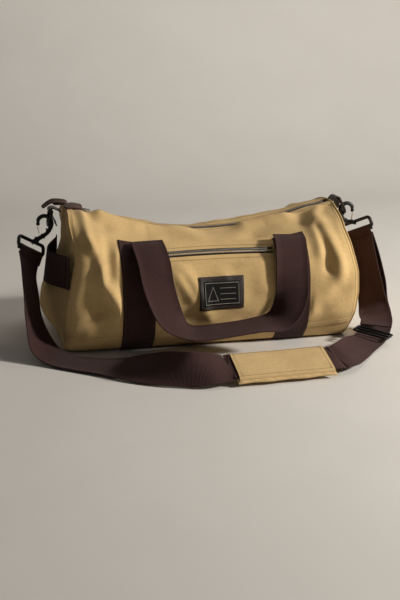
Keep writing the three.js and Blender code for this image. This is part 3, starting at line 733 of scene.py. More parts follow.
def fold_height(points, side):
    """How far the folds push the cloth out at these points of the skin."""
    flat = points.reshape(-1, 3)
    height = np.zeros(len(flat))
    for line, half_width, rise in FRONT_FOLDS if side == FRONT else BACK_FOLDS:
        first, last = rise if isinstance(rise, tuple) else (rise, rise)
        nearest, share = np.full(len(flat), 1e9), np.zeros(len(flat))
        corners = np.array(line, float)
        for number, (start, end) in enumerate(zip(corners[:-1], corners[1:])):
            run = end - start
            t = np.clip((flat - start) @ run / (run @ run), 0, 1)
            gap = np.sum((flat - start - t[:, None] * run) ** 2, axis=1)
            share = np.where(gap < nearest, (number + t) / (len(line) - 1), share)
            nearest = np.minimum(nearest, gap)
        height += (first + (last - first) * share) * np.exp(-nearest / (2 * half_width**2))
    x, z = flat[:, 0], flat[:, 2]
    broad = 0.7 * np.sin(x / 23 + 1.3 * side) * np.sin(z / 19 + 0.4)
    height += broad + 0.45 * np.sin(x / 11 + z / 15 + side)
    height += 0.25 * np.sin(x / 6.1 - z / 7.3) * np.sin(z / 9.7 + x / 31)
    return height.reshape(points.shape[:-1])


def fold_fade(x, degrees, point):
    """Folds die out at the end seams, the zips and the base and, partly, under the sewn-on bands."""
    seam = smooth_step(seam_x(degrees) - np.abs(x), 2, 26)
    zip_side = smooth_step(np.abs(point[..., 1]), 9, 24)
    base = smooth_step(point[..., 2], 12, 44)
    from_zip = np.maximum(np.abs(point[..., 2] - POCKET_ZIP_HEIGHT) - 9, np.abs(x) - POCKET_HALF_X)
    lane = np.where(point[..., 1] < 0, smooth_step(from_zip, -1, 9), 1)
    beside = smooth_step(32 - np.abs(np.abs(x) - BAND_X), 0, 8)
    band = 1 - 0.75 * beside * smooth_step(178 - point[..., 2], 0, 12)
    return seam * zip_side * base * band * lane


def skin(x, degrees, side, lift=0.0):
    """Points on the bag's folded skin, lifted off it by lift."""
    x, degrees = np.broadcast_arrays(np.asarray(x, float), np.asarray(degrees, float))
    point = section(x, degrees, side)
    height = fold_height(point, side) * fold_fade(x, degrees, point) + lift
    return settle(point + skin_normal(x, degrees, side) * height[..., None])


def skin_path(xs, degrees, side, lift=0.0):
    """A line on the skin and the skin's directions along it, for stitches."""
    path = skin(xs, degrees, side, lift)
    return path, skin_normal(*np.broadcast_arrays(np.asarray(xs, float), np.asarray(degrees, float)), side)


# ---- pieces by the mouth ----
def bend_with_lip(piece, side, half, slot, *nodes):
    """The piece's transform baked into its mesh, and the CAD nodes it stands for hidden."""
    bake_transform(piece)
    if nodes:
        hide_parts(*nodes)
    return piece


SIDES = (("front", FRONT), ("back", BACK))
HALVES = (("left", -1), ("right", 1))
HEM_DEPTH = 10.5


# ---- canvas body ----
def panel_grid(side, half, lift, rows=104, columns=84):
    low = float(degrees_at_height(0, BASE_SEAM_HEIGHT))
    degrees = even_degrees(low, float(degrees_at_depth(HEM_DEPTH)), rows)
    shares = np.linspace(0, 1, columns)
    x = half * shares[None, :] * seam_x(degrees)[:, None]
    degrees = np.repeat(degrees[:, None], columns, axis=1)
    depth = np.abs(section(x, degrees, side)[..., 1])
    hem = 1.1 * smooth_step(depth, 27, 24.5) * (degrees > 0)
    grid = skin(x, degrees, side, lift + np.where(lift > -1, hem, 0))
    return grid if half * side < 0 else grid[:, ::-1]


def make_panels():
    for side_name, side in SIDES:
        for half_name, half in HALVES:
            outer = panel_grid(side, half, 0.0)
            inner = panel_grid(side, half, -CANVAS_THICK)
            piece = sheet_piece(f"{side_name}_{half_name}_canvas", outer, inner, CANVAS)
            nodes = [f"{side_name}_panel", f"mouth_{side_name}_panel"]
            bend_with_lip(piece, side, half, "canvas", *nodes)


def base_outline(count):
    """Section of the base shell at one x: up the front to the base seam, flat below, up the back."""
    low = float(degrees_at_height(0, BASE_SEAM_HEIGHT + 1.5))
    front = section(np.zeros(count), even_degrees(low, -90, count), FRONT)
    flat_y = np.linspace(-BASE_HALF, BASE_HALF, count + 2)[1:-1]
    flat = np.stack([np.zeros(count), flat_y, np.zeros(count)], axis=-1)
    back = section(np.zeros(count), even_degrees(-90, low, count), BACK)
    return np.concatenate([front, flat, back])


def base_grid(lift, columns=90):
    outline = base_outline(16)
    x = np.linspace(-SEAM_X, SEAM_X, columns)
    grid = np.repeat(outline[:, None], columns, axis=1)
    grid[..., 0] = x[None, :]
    swell = 0.5 + lift
    grid[..., 1] += np.sign(grid[..., 1]) * swell * smooth_step(grid[..., 2], 0, 8)
    grid[..., 2] = np.maximum(grid[..., 2], 2.4 - lift)
    return settle(grid)


def make_base():
    piece = sheet_piece("base_canvas", base_grid(0.0), base_grid(-CANVAS_THICK), CANVAS)
    finish_piece(piece, "bag", "canvas", "base_panel")


# The end panels run from a crown out to the seam.
END_FOLDS = [((0, 150), (0, 100), 16, -4), ((-70, 150), (-30, 95), 14, 4), ((60, 150), (30, 90), 14, 3)]
END_FOLDS += [((-90, 60), (-40, 40), 14, 3), ((80, 50), (30, 34), 13, 2.5)]


def end_point(side, share, y_edge, z_edge, x_edge, lift):
    y = y_edge * share
    z = DOME_HEIGHT + (z_edge - DOME_HEIGHT) * share
    x = SEAM_X + (x_edge - SEAM_X) * share**3 + END_BULGE * np.cos(math.pi * share / 2) ** 3 + lift
    fade = smooth_step(share, 1.0, 0.8)
    for start, end, half_width, rise in END_FOLDS:
        start, end = np.array(start, float), np.array(end, float)
        run = end - start
        place = np.stack([y, z], axis=-1) - start
        t = np.clip(place @ run / (run @ run), 0, 1)
        gap = np.sum((place - t[..., None] * run) ** 2, axis=-1)
        x = x + rise * np.exp(-gap / (2 * half_width**2)) * fade
    return settle(np.stack([side * x, y, z], axis=-1))


def end_edge(count):
    """The seam loop round an end, as depth, height and x: up the front, down the back, along the base."""
    up = even_degrees(-90, 90, count)
    front = section(np.zeros(count), up, FRONT)
    x = seam_x(up)
    share_up = np.abs(np.sin(np.radians(up))) ** (2 / UPPER_POWER)
    z = np.where(up >= 0, WIDEST_HEIGHT + (ridge_height(x) - WIDEST_HEIGHT) * share_up, front[:, 2])
    y = front[:, 1]
    flat_y = np.linspace(BASE_HALF, -BASE_HALF, count // 2 + 2)[1:-1]
    y = np.concatenate([y, -y[::-1][1:], flat_y])
    x = np.concatenate([x, x[::-1][1:], np.full(len(flat_y), float(SEAM_X))])
    z = np.concatenate([z, z[::-1][1:], np.zeros(len(flat_y))])
    return y, np.maximum(z, 2.4), x


def end_grid(side, lift, rings=34):
    y, z, x = end_edge(70)
    shares = np.linspace(0.02, 1.0, rings)[:, None]
    return end_point(side, shares, y[None, :], z[None, :], x[None, :], lift)


def make_ends():
    for name, side in HALVES:
        outer = end_grid(side, 0.6)
        inner = end_grid(side, -0.8)
        rings, count = outer.shape[:2]
        points = np.concatenate([outer.reshape(-1, 3), inner.reshape(-1, 3)])
        flip = side > 0
        faces = grid_faces(rings, count, close_columns=True, flip=flip)
        faces += grid_faces(rings, count, rings * count, close_columns=True, flip=not flip)
        cap = tuple(range(count))
        faces += [cap if not flip else cap[::-1]]
        faces += [tuple(i + rings * count for i in (cap[::-1] if not flip else cap))]
        edge = (rings - 1) * count
        for c in range(count):
            d = (c + 1) % count
            quad = (edge + c, edge + d, edge + d + rings * count, edge + c + rings * count)
            faces.append(quad[::-1] if flip else quad)
        uvs = np.concatenate([outer.reshape(-1, 3), inner.reshape(-1, 3)])[:, 1:] * MM
        piece = mesh_piece(f"{name}_end_canvas", points, faces, CANVAS, uvs)
        finish_piece(piece, "bag", "canvas", f"{name}_end_panel")


SEAM_RADIUS = {"left": 0.8, "right": 1.4}
SEAM_SIDES = 8
BASE_SEAM_ROWS = (("lower", 1.8, 1.3), ("upper", 5.4, 0.8))


def make_seams():
    """The rolled seam allowance round each end and along the base, and its topstitching."""
    for name, side in HALVES:
        y, z, x = end_edge(150)
        loop = np.stack([side * (x + 0.3), y, z + 0.4], axis=-1)
        loop[:, 2] = np.maximum(loop[:, 2], 2.2)
        points, faces = tube(settle(loop), SEAM_RADIUS[name], SEAM_SIDES, closed=True)
        along = np.repeat(np.arange(len(loop)) * 4.7 * MM, SEAM_SIDES)
        around = np.tile(np.arange(SEAM_SIDES) * 1.5 * MM, len(loop))
        uvs = np.stack([along, around], axis=-1)
        piece = mesh_piece(f"{name}_end_seam", points, faces, CANVAS, uvs)
        finish_piece(piece, "bag", "canvas")
    for side_name, side in SIDES:
        x = np.linspace(-SEAM_X + 2, SEAM_X - 2, 160)
        rise = BASE_SEAM_HEIGHT + 5 * smooth_step(x, 150, 228) + 3 * smooth_step(-x, 190, 228)
        degrees = degrees_at_height(0, rise)
        lower = skin(x, degrees, side, 1.7)
        upper = skin(x, degrees_at_height(0, rise + 7), side, 0.5)
        edge = skin(x, degrees_at_height(0, rise - 0.3), side, -1.2)
        inside = skin(x, degrees_at_height(0, rise + 7), side, -1.2)
        outer = np.stack([lower, 0.5 * lower + 0.5 * upper + side * np.array([0, 0.35, 0]), upper])
        inner = np.stack([edge, 0.5 * edge + 0.5 * inside, inside])
        if side == BACK:
            outer, inner = outer[:, ::-1], inner[:, ::-1]
        piece = sheet_piece(f"{side_name}_base_seam", outer, inner, CANVAS)
        finish_piece(piece, "bag", "canvas")
        for row, height, lift in BASE_SEAM_ROWS:
            path, normals = skin_path(x, degrees_at_height(0, rise + height), side, lift)
            piece = joined(f"{side_name}_base_{row}_stitching", stitch_parts(path, normals), KHAKI_THREAD)
            finish_piece(piece, "bag", "canvas")
        for half_name, half in HALVES:
            degrees = even_degrees(-70, float(degrees_at_depth(14)), 200)
            path, normals = skin_path(half * (seam_x(degrees) - 5), degrees, side, 0.1)
            name = f"{side_name}_{half_name}_end_stitching"
            piece = joined(name, stitch_parts(path, normals), KHAKI_THREAD)
            finish_piece(piece, "bag", "canvas")


# ---- zips ----
TOOTH_PITCH = 2.55
POCKET_TOOTH_PITCH = 3.3


def tooth(side):
    """One metal tooth that reaches over the middle line from one side, at the origin."""
    low = min(-0.7 * side, 3.1 * side)
    high = max(-0.7 * side, 3.1 * side)
    return box_parts((-0.75, low, -0.95), (0.75, high, 0.95), 0.3)


def tape_parts(xs, side):
    """The upper and lower face of the zip's tape beside the teeth on the ridge."""
    z = ridge_height(xs)
    near = np.stack([xs, np.full_like(xs, 2.2 * side), z + 0.1], axis=-1)
    middle = np.stack([xs, np.full_like(xs, 6.5 * side), z + 0.25], axis=-1)
    far = np.stack([xs, np.full_like(xs, 13.5 * side), z - 0.3], axis=-1)
    rows = np.stack([near, middle, far])
    if side > 0:
        rows = rows[:, ::-1]
    return settle(rows[::-1]), settle(rows[::-1] - np.array([0, 0, 0.7]))


def make_main_zip():
    for side_name, side in SIDES:
        for half_name, half in HALVES:
            xs = half * np.linspace(0, ZIP_END_X, 90)
            outer, inner = tape_parts(np.sort(xs), side)
            tape = sheet_piece(f"{side_name}_{half_name}_zip_tape", outer, inner, TAPE)
            nodes = [f"{side_name}_{half_name}_end_zip_tape", f"{side_name}_mouth_zip_tape"]
            bend_with_lip(tape, side, half, "zip_tape", *nodes)
            parts = []
            first = 0.25 if side == FRONT else 0.75
            for k in range(int(ZIP_END_X / TOOTH_PITCH) - 1):
                x = half * (k + (first if half > 0 else 1 - first)) * TOOTH_PITCH
                lean = x / RIDGE_RADIUS
                place = settle((x, 0, ridge_height(x) + 0.35))
                parts.append(placed(tooth(side), place, (math.cos(lean), 0, math.sin(lean)), (0, 0, 1)))
            teeth = joined(f"{side_name}_{half_name}_zip_teeth", parts, NICKEL)
            nodes = [f"{side_name}_{half_name}_end_zip_teeth", f"{side_name}_mouth_zip_teeth"]
            bend_with_lip(teeth, side, half, "zip_metal", *nodes)
            for row, depth in (("near", 13.0), ("far", 22.5)):
                xs = half * np.linspace(1, ZIP_END_X - 2, 200)
                path, normals = skin_path(xs, float(degrees_at_depth(depth)), side, 1.25)
                name = f"{side_name}_{half_name}_zip_{row}_stitching"
                bend_with_lip(joined(name, stitch_parts(path, normals), KHAKI_THREAD), side, half, "canvas")


def slider_parts(along=7.0, across=4.4, thick=1.5, rise=1.6):
    """A zip slider at the origin: a waisted upper plate with side flanges and a bail on top."""
    parts = []
    outline = [(-1, 0.55), (-0.6, 0.62), (-0.1, 0.72), (0.4, 1.0), (0.85, 1.0), (1, 0.8)]
    steps = np.linspace(-1, 1, 7)
    rows = []
    for u, w in outline:
        rows.append([(u * along, v * w * across, rise + thick * (1 - 0.35 * v * v)) for v in steps])
    top = np.array(rows)
    bottom = top.copy()
    bottom[..., 2] = rise
    parts.append(slab(top[:, ::-1], bottom[:, ::-1]))
    for v in (-1, 1):
        flange = v * across * 0.92
        low = (-0.55 * along, flange - 0.45, -0.4)
        high = (0.95 * along, flange + 0.45, rise + 0.6)
        parts.append(box_parts(low, high, 0.2))
    angles = np.linspace(0, math.pi, 14)
    bail_z = rise + thick * 0.6 + 4.2 * np.sin(angles) ** 0.8
    bail = np.stack([0.6 - 4.6 * np.cos(angles), np.zeros(14), bail_z], axis=-1)
    parts.append(tube(bail, 0.85, 8))
    return parts


def ring_path(centre, normal, radius, sides=36):
    normal = unit(np.array(normal, float))
    first = unit(np.cross(normal, (0, 1, 0.01)))
    second = np.cross(normal, first)
    angles = np.linspace(0, 2 * math.pi, sides, endpoint=False)[:, None]
    return np.array(centre) + radius * (np.cos(angles) * first + np.sin(angles) * second)


def pull_strip(name, route, width, thick, taper=0.85):
    """A flat strip along a route of (centre, width direction) pairs, rounded at its far end."""
    centres, across, normal = frame_along(route, 26)
    shares = np.linspace(0, 1, 26)
    round_end = np.sqrt(np.clip(1 - ((shares - 0.86) / 0.15).clip(0, 1) ** 2, 0.05, 1))
    half = width / 2 * (taper + (1 - taper) * shares) * round_end
    across_steps = np.array([-1, -0.9, -0.5, 0, 0.5, 0.9, 1])
    crown = np.array([0.55, 0.95, 1.0, 1.04, 1.0, 0.95, 0.55]) * thick / 2
    curl = 0.10 * width * (across_steps**2) * -1
    outer = centres[:, None] + across[:, None] * half[:, None, None] * across_steps[None, :, None]
    outer = outer + normal[:, None] * curl[None, :, None]
    rise = normal[:, None] * crown[None, :, None]
    return sheet_piece(name, outer + rise, outer - rise, LEATHER)


SLIDER_X = (-204, -181)
PULL_SPREAD = (0.12, 0.92, 0.36)


def make_main_sliders():
    for number, x in enumerate(SLIDER_X, start=1):
        lean = -math.asin(x / RIDGE_RADIUS)
        z = float(ridge_height(x))
        along = (math.cos(lean), 0, -math.sin(lean))
        parts = [placed(p, (x, 0, z), along, (0, 0, 1)) for p in slider_parts()]
        slider = joined(f"main_slider_body_{number}", parts, NICKEL)
        finish_piece(slider, f"main_slider_{number}", "zip_metal", f"zip_slider_{number}")
        loop = tube(ring_path((x - 4.6, 0, z + 7.2), (0.33, 0, 0.94), 7), 0.95, 10, True)
        ring = joined(f"main_pull_ring_{number}", [loop], NICKEL)
        finish_piece(ring, f"main_pull_{number}", "zip_metal", f"pull_ring_{number}")
    x1, x2 = SLIDER_X
    z1, z2 = float(ridge_height(x1)) + 7.5, float(ridge_height(x2)) + 7.5
    first = [(x1 - 10.0, 0, z1 + 1.2), (x1 - 14.5, 0, z1 + 4), (x1 - 32, 0, z1 + 5), (x1 - 47, 0, z1 - 4)]
    second = [(x2 - 10.0, -4, z2 + 2), (x2 - 13.5, -8, z2 + 5)]
    second += [(x2 - 27, -21, z2 + 9.5), (x2 - 38, -31, z2 + 9)]
    for number, points in ((1, first), (2, second)):
        route = [(p, PULL_SPREAD) for p in points]
        pull = pull_strip(f"main_pull_leather_{number}", route, 12.5, 2.6)
        finish_piece(pull, f"main_pull_{number}", "leather", f"zip_pull_{number}")
        under = [((p[0] + 1.5, p[1], p[2] - 2.9), PULL_SPREAD) for p in points[:3]]
        lower = pull_strip(f"main_pull_leather_back_{number}", under, 11.5, 2.2)
        finish_piece(lower, f"main_pull_{number}", "leather")
        path = curve_through(np.array(points[1:], float), 40)
        up = np.tile([0.0, 0.0, 1.0], (40, 1))
        parts = []
        for edge in (-1, 1):
            shift = unit(np.array(PULL_SPREAD)) * edge * 3.9
            parts += stitch_parts(path[3:-6] + shift + np.array([0, 0, 1.3]), up[3:-6], 2.6, 1.8, 0.28)
        stitching = joined(f"main_pull_stitching_{number}", parts, DARK_THREAD)
        finish_piece(stitching, f"main_pull_{number}", "leather")


# ---- front pocket ----
def pocket_grid(low, high, reach, lift, rows, columns):
    heights = np.linspace(low, high, rows)[:, None]
    x = np.linspace(-reach, reach, columns)[None, :]
    x, heights = np.broadcast_arrays(x, heights)
    return skin(x, degrees_at_height(x, heights), FRONT, lift)


def make_pocket():
    z = POCKET_ZIP_HEIGHT
    rows, columns = 60, 80
    heights = np.linspace(BASE_SEAM_HEIGHT + 3, z - 4.5, rows)[:, None]
    x = np.linspace(-POCKET_HALF_X - 4, POCKET_HALF_X + 4, columns)[None, :]
    x, heights = np.broadcast_arrays(x, heights)
    loose = smooth_step(np.abs(x), POCKET_HALF_X - 1, POCKET_HALF_X - 14)
    belly = np.sin(math.pi * np.clip((heights - 30) / 110, 0, 1))
    slack = loose * 1.6 * belly + 1.0 * smooth_step(heights, 126, z - 6)
    hem = 0.7 * smooth_step(heights, z - 12.5, z - 11.5)
    outer = skin(x, degrees_at_height(x, heights), FRONT, 1.2 + slack + hem * loose)
    inner = skin(x, degrees_at_height(x, heights), FRONT, 0.1 + slack * 0.9)
    panel = sheet_piece("pocket_canvas", outer, inner, CANVAS)
    finish_piece(panel, "bag", "canvas", "pocket_panel")
    xs = np.linspace(-88, 88, 200)
    for name, height, lift in (("lower", z - 9.5, 4.4), ("upper", z + 6.5, 1.6)):
        path, normals = skin_path(xs, degrees_at_height(xs, height), FRONT, lift)
        stitching = joined(f"pocket_{name}_stitching", stitch_parts(path, normals), KHAKI_THREAD)
        finish_piece(stitching, "bag", "canvas")
    # the folded edge of the bag's own canvas above the zip
    upper = pocket_grid(z + 3.6, z + 12, 97, 1.3, 4, 80)
    hem = sheet_piece("pocket_upper_hem", upper, pocket_grid(z + 3.6, z + 12, 97, -0.3, 4, 80), CANVAS)
    finish_piece(hem, "bag", "canvas")
    for name, low, high in (("lower", z - 9.5, z - 1.6), ("upper", z + 1.6, z + 9.0)):
        outer = pocket_grid(low, high, 92, 1.25, 4, 80)
        tape = sheet_piece(f"pocket_{name}_tape", outer, pocket_grid(low, high, 92, 0.2, 4, 80), TAPE)
        finish_piece(tape, "bag", "zip_tape", f"pocket_zip_{name}_tape")
        parts = []
        side = -1 if name == "lower" else 1
        for k in range(int(2 * 85 / POCKET_TOOTH_PITCH)):
            x = -85 + (k + (0.25 if side < 0 else 0.75)) * POCKET_TOOTH_PITCH
            degrees = degrees_at_height(x, z + side * 0.8)
            place = skin(x, degrees, FRONT, 1.9)
            out = skin_normal(np.array(x, float), degrees, FRONT)
            points, faces = tooth(side)
            parts.append(placed((points * np.array([0.85, 0.8, 1.0]), faces), place, (1, 0, 0), out))
        teeth = joined(f"pocket_{name}_teeth", parts, BRIGHT_NICKEL)
        finish_piece(teeth, "bag", "zip_metal", f"pocket_zip_{name}_teeth")


def make_pocket_slider():
    low, high = (np.array(corner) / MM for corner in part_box("pocket_zip_slider"))
    x = (low[0] + high[0]) / 2
    degrees = degrees_at_height(x, POCKET_ZIP_HEIGHT)
    place = skin(x, degrees, FRONT, 2.2)
    out = skin_normal(np.array(x, float), degrees, FRONT)
    parts = [placed(p, place, (-1, 0, 0), out) for p in slider_parts(6.5, 4.6, 1.4, 1.2)]
    finish_piece(joined("pocket_slider_body", parts, WIRE), "pocket_slider", "zip_metal", "pocket_zip_slider")
    low, high = (np.array(corner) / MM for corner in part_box("pocket_zip_pull"))
    middle = (low + high) / 2
    top = np.array([middle[0], high[1] - 0.5, high[2]])
    end = np.array([middle[0], low[1] + 0.8, low[2]])
    route = [(top + (end - top) * t, (1, 0, 0)) for t in (0, 0.33, 0.66, 1)]
    pull = pull_strip("pocket_pull_tab", route, 5.2, 1.2, 0.7)
    pull.data.materials[0] = WIRE
    finish_piece(pull, "pocket_pull", "zip_metal", "pocket_zip_pull")


PATCH_CENTRE = (4, 92)
LABEL_WEAVE_LIFT = 3.45


def patch_grid(half_x, half_z, lift, rows=26, columns=34):
    z = np.linspace(PATCH_CENTRE[1] - half_z, PATCH_CENTRE[1] + half_z, rows)[:, None]
    x = np.linspace(PATCH_CENTRE[0] - half_x, PATCH_CENTRE[0] + half_x, columns)[None, :]
    x, z = np.broadcast_arrays(x, z)
    u = (x - PATCH_CENTRE[0]) / half_x
    v = (z - PATCH_CENTRE[1]) / half_z
    droop = 1 - 0.5 * np.maximum(np.abs(u), np.abs(v)) ** 14
    return skin(x + 0.02 * (z - PATCH_CENTRE[1]), degrees_at_height(x, z), FRONT, 3.0 + lift * droop)


def curve_free(points, spacing=0.8):
    """Evenly spaced points along straight lines."""
    dense = []
    for start, end in zip(np.array(points[:-1], float), np.array(points[1:], float)):
        count = max(2, int(np.linalg.norm(end - start) / spacing))
        dense.append(start + (end - start) * np.linspace(0, 1, count, endpoint=False)[:, None])
    return np.concatenate(dense + [np.array(points[-1:], float)])


def patch_line(points, lift, pitch=2.2, length=1.9, radius=0.3):
    """Stitches along straight lines on the patch, given from its centre."""
    dense = curve_free(points)
    x, z = dense[:, 0] + PATCH_CENTRE[0], dense[:, 1] + PATCH_CENTRE[1]
    path, normals = skin_path(x, degrees_at_height(x, z), FRONT, 3.0 + lift)
    return stitch_parts(path, normals, pitch, length, radius)


def make_patch():
    """The leather patch, its stitching, and a woven label with a plain triangle, a frame and lines."""
    patch = sheet_piece("leather_patch_sewn", patch_grid(35, 24, 2.4), patch_grid(35, 24, 0.2), PATCH_LEATHER)
    finish_piece(patch, "bag", "leather", "leather_patch")
    label = sheet_piece("woven_label_sewn", patch_grid(29.5, 18.5, 3.4), patch_grid(29.5, 18.5, 2.3), LABEL)
    finish_piece(label, "bag", "label", "woven_label")
    edge = [(-32.4, -21.4), (32.4, -21.4), (32.4, 21.4), (-32.4, 21.4), (-32.4, -21.4)]
    finish_piece(joined("patch_stitching", patch_line(edge, 2.45), DARK_THREAD), "bag", "leather")
    border = [(-26, -15), (26, -15), (26, 15), (-26, 15), (-26, -15)]
    parts = patch_line(border, LABEL_WEAVE_LIFT, 0.9, 1.0, 0.34)
    for y in (-8, 0, 8):
        parts += patch_line([(-3, y), (22, y)], LABEL_WEAVE_LIFT, 0.9, 1.0, 0.32)
    triangle = [(-22, -10), (-14, 10), (-6, -10), (-22, -10)]
    parts += patch_line(triangle, LABEL_WEAVE_LIFT, 0.9, 1.0, 0.32)
    finish_piece(joined("label_weave", parts, PALE_THREAD), "bag", "label")


# ---- webbing ----
def band_degrees(count, top):
    """Section angles down a band, from its top end to the edge of the base."""
    return even_degrees(float(degrees_at_height(BAND_X, top)), -90, count)


def over_seam(degrees):
    """How much further out a band lies where it crosses the rolled base seam."""
    height = section(np.full(len(degrees), BAND_X), degrees, FRONT)[:, 2]
    return 1.9 * smooth_step(np.abs(height - BASE_SEAM_HEIGHT - 4), 13, 7)


def band_grid(centre_x, lift, count=70):
    shares = np.array([-1, -0.985, -0.95, -0.9, -0.6, -0.2, 0.2, 0.6, 0.9, 0.95, 0.985, 1])
    profile = np.array([0.35, 0.8, 1.0, 0.85, 0.85, 0.85, 0.85, 0.85, 0.85, 1.0, 0.8, 0.35])
    x = centre_x + shares * WEB_WIDTH / 2
    ends = []
    for side, top in ((FRONT, BAND_TOP), (BACK, BACK_BAND_TOP)):
        down = band_degrees(count, top)
        out = over_seam(down)[:, None] + lift * profile[None, :]
        ends.append(skin(x[None, :], down[:, None], side, out))
    front, back = ends[0], ends[1][::-1]
    flat_y = np.linspace(-BASE_HALF, BASE_HALF, 14)[1:-1]
    flat = np.stack(np.broadcast_arrays(x[None, :], flat_y[:, None], np.full((12, 12), 0.0)), axis=-1)
    grid = np.concatenate([front, flat, back])
    grid[..., 2] = np.maximum(grid[..., 2], 2.4 - lift)
    return grid


def make_bands():
    for name, side in HALVES:
        outer = band_grid(side * BAND_X, WEB_THICK)
        inner = band_grid(side * BAND_X, -0.2)
        band = sheet_piece(f"{name}_band", outer, inner, WEBBING, turn_uv=True)
        finish_piece(band, "bag", "webbing", f"{name}_webbing_band")
        parts = []
        for face in (FRONT, BACK):
            for edge in (-21.5, 21.5):
                x = side * BAND_X + edge
                down = band_degrees(160, BAND_TOP if face == FRONT else BACK_BAND_TOP)
                lift = WEB_THICK * 0.9 + over_seam(down)
                path, normals = skin_path(np.full(160, x), down, face, lift)
                keep = path[:, 2] > 8
                parts += stitch_parts(path[keep], normals[keep], 3.4, 2.4, 0.32)
        finish_piece(joined(f"{name}_band_stitching", parts, DARK_THREAD), "bag", "webbing")


HANDLE_ROUTE = [
    ((-104, -91, 170), (1, 0, 0)),
    ((-103, -110, 163), (1, 0, 0)),
    ((-99, -128, 143), (1, 0.05, 0)),
    ((-93.5, -140, 106), (0.95, 0.25, 0.1)),
    ((-78, -148, 64), (0.75, 0.55, 0.3)),
    ((-50, -153, 41), (0.2, 0.96, 0.2)),
    ((-8, -154, 40), (0, 0.985, 0.17)),
    ((52, -152, 45), (0, 0.985, 0.17)),
    ((90, -148, 50), (-0.4, 0.82, 0.33)),
    ((110, -143, 80), (-0.85, 0.45, 0.2)),
    ((114, -134, 122), (-1, 0.1, 0)),
    ((118, -112, 160), (-1, 0, 0)),
    ((120, -91, 170), (-1, 0, 0)),
]
GRAB_ROUTE = [
    ((-240.6, -88, 124), (0.1, 0, 1)),
    ((-251.5, -66, 124), (0.12, 0, 0.99)),
    ((-258.4, -44, 124), (0.15, 0, 0.99)),
    ((-256.6, -20, 124), (0.15, 0, 0.99)),
    ((-253, 5, 124), (0.15, 0, 0.99)),
    ((-252.4, 30, 124), (0.15, 0, 0.99)),
    ((-249.5, 58, 124), (0.12, 0, 0.99)),
    ((-240.6, 88, 124), (0.1, 0, 1)),
]
GRAB_TAB_ROUTE = [
    ((-236.6, 108, 124), (0.02, 0, 1)),
    ((-237.6, 98, 124), (0.05, 0, 1)),
    ((-239.4, 90.5, 124), (0.1, 0, 1)),
]


def settled_route(route):
    """The same route moved in with the slumped end that it is sewn to."""
    return [(tuple(settle(centre)), across) for centre, across in route]


def handle_route(turn):
    """The handle's route as listed for the front, or turned half round and lowered for the back."""
    route = []
    for (x, y, z), (u, v, w) in HANDLE_ROUTE:
        centre = (turn * x, turn * y, z)
        if turn < 0:
            centre = (-x, -y + 5, z - 9) if z > 165 else (-x, -y + 1, min(z, 156))
        route.append((centre, (turn * u, turn * v, w)))
    return route


def make_handles():
    for name, turn in (("front", 1), ("back", -1)):
        route = handle_route(turn)
        handle = webbing(f"{name}_handle_webbing", route, WEB_WIDTH, WEB_THICK * 1.1, WEBBING, 150, 0.8, 3)
        finish_piece(handle, f"{name}_carry_handle", "webbing", f"{name}_handle")
    route = settled_route(GRAB_ROUTE)
    grab = webbing("grab_handle_webbing", route, WEB_WIDTH, WEB_THICK * 1.1, WEBBING, 60, 0.5, 1)
    finish_piece(grab, "end_grab_handle", "webbing", "end_handle")
    for name, turn in (("front", -1), ("back", 1)):
        route = settled_route([((x, turn * y, z), across) for (x, y, z), across in GRAB_TAB_ROUTE])
        tab = webbing(f"grab_handle_{name}_tab", route, WEB_WIDTH, WEB_THICK, WEBBING, 12)
        finish_piece(tab, "bag", "webbing", f"end_handle_{name}_tab")


# ---- strap hardware ----
D_HALF = 18
D_DROP = 24
D_BAR = 2.4
EYE = (248, 187)
HOOK_CURL = [(10.5, -1), (9, 7), (1, 11.3), (-8, 7.5), (-10, -2), (-6.5, -12), (0, -18.5)]
HOOK_BAR = 3.1
GATE_WIRE = [(11.2, -5), (10.6, -10), (9.6, -16)]
RING_HALF = (29, 8)
RING_CORNER = 5.0
RING_BAR = 2.8
# The x and z of each D-ring's straight bar, and how far the ring leans outward for its drop.
D_BARS = {"left": (238, 207.5, 0.2), "right": (230, 207.5, 0.58)}
# Each swivel ring's centre, the direction of its long side, and of its hang. The right ring's centre
# was measured on the photograph by a helper program.
RINGS = {
    "left": ((-271, -10, 154), (0.65, 0.55, -0.45), (-0.2, -0.55, -0.8)),
    "right": ((266, -6, 161), (0.5, -0.77, 0.4), (0.3, -0.25, -0.9)),
}


def d_ring_tube(name, side):
    """A moulded D: a straight bar in the webbing loop and a round bow that hangs outward."""
    x, z, lean = D_BARS[name]
    angles = np.linspace(0, math.pi, 26)
    down = D_DROP * np.sin(angles)
    bow = np.stack([side * (x + lean * down), D_HALF * np.cos(angles), z - down], axis=-1)
    across = np.linspace(-D_HALF, D_HALF, 16)[1:-1]
    straight = np.stack([np.full(14, side * x), across, np.full(14, z)], axis=-1)
    return tube(np.concatenate([bow, straight]), D_BAR, 12, closed=True)


def oval_bead(centre, tangent, radius, stretch):
    """A moulded bead on a bar, drawn out along the bar by the stretch."""
    steps = np.linspace(-1, 1, 9)
    line = centre + unit(tangent) * steps[:, None] * radius * stretch
    return tube(line, radius * np.sqrt(1.02 - steps**2) ** 0.8, 14)


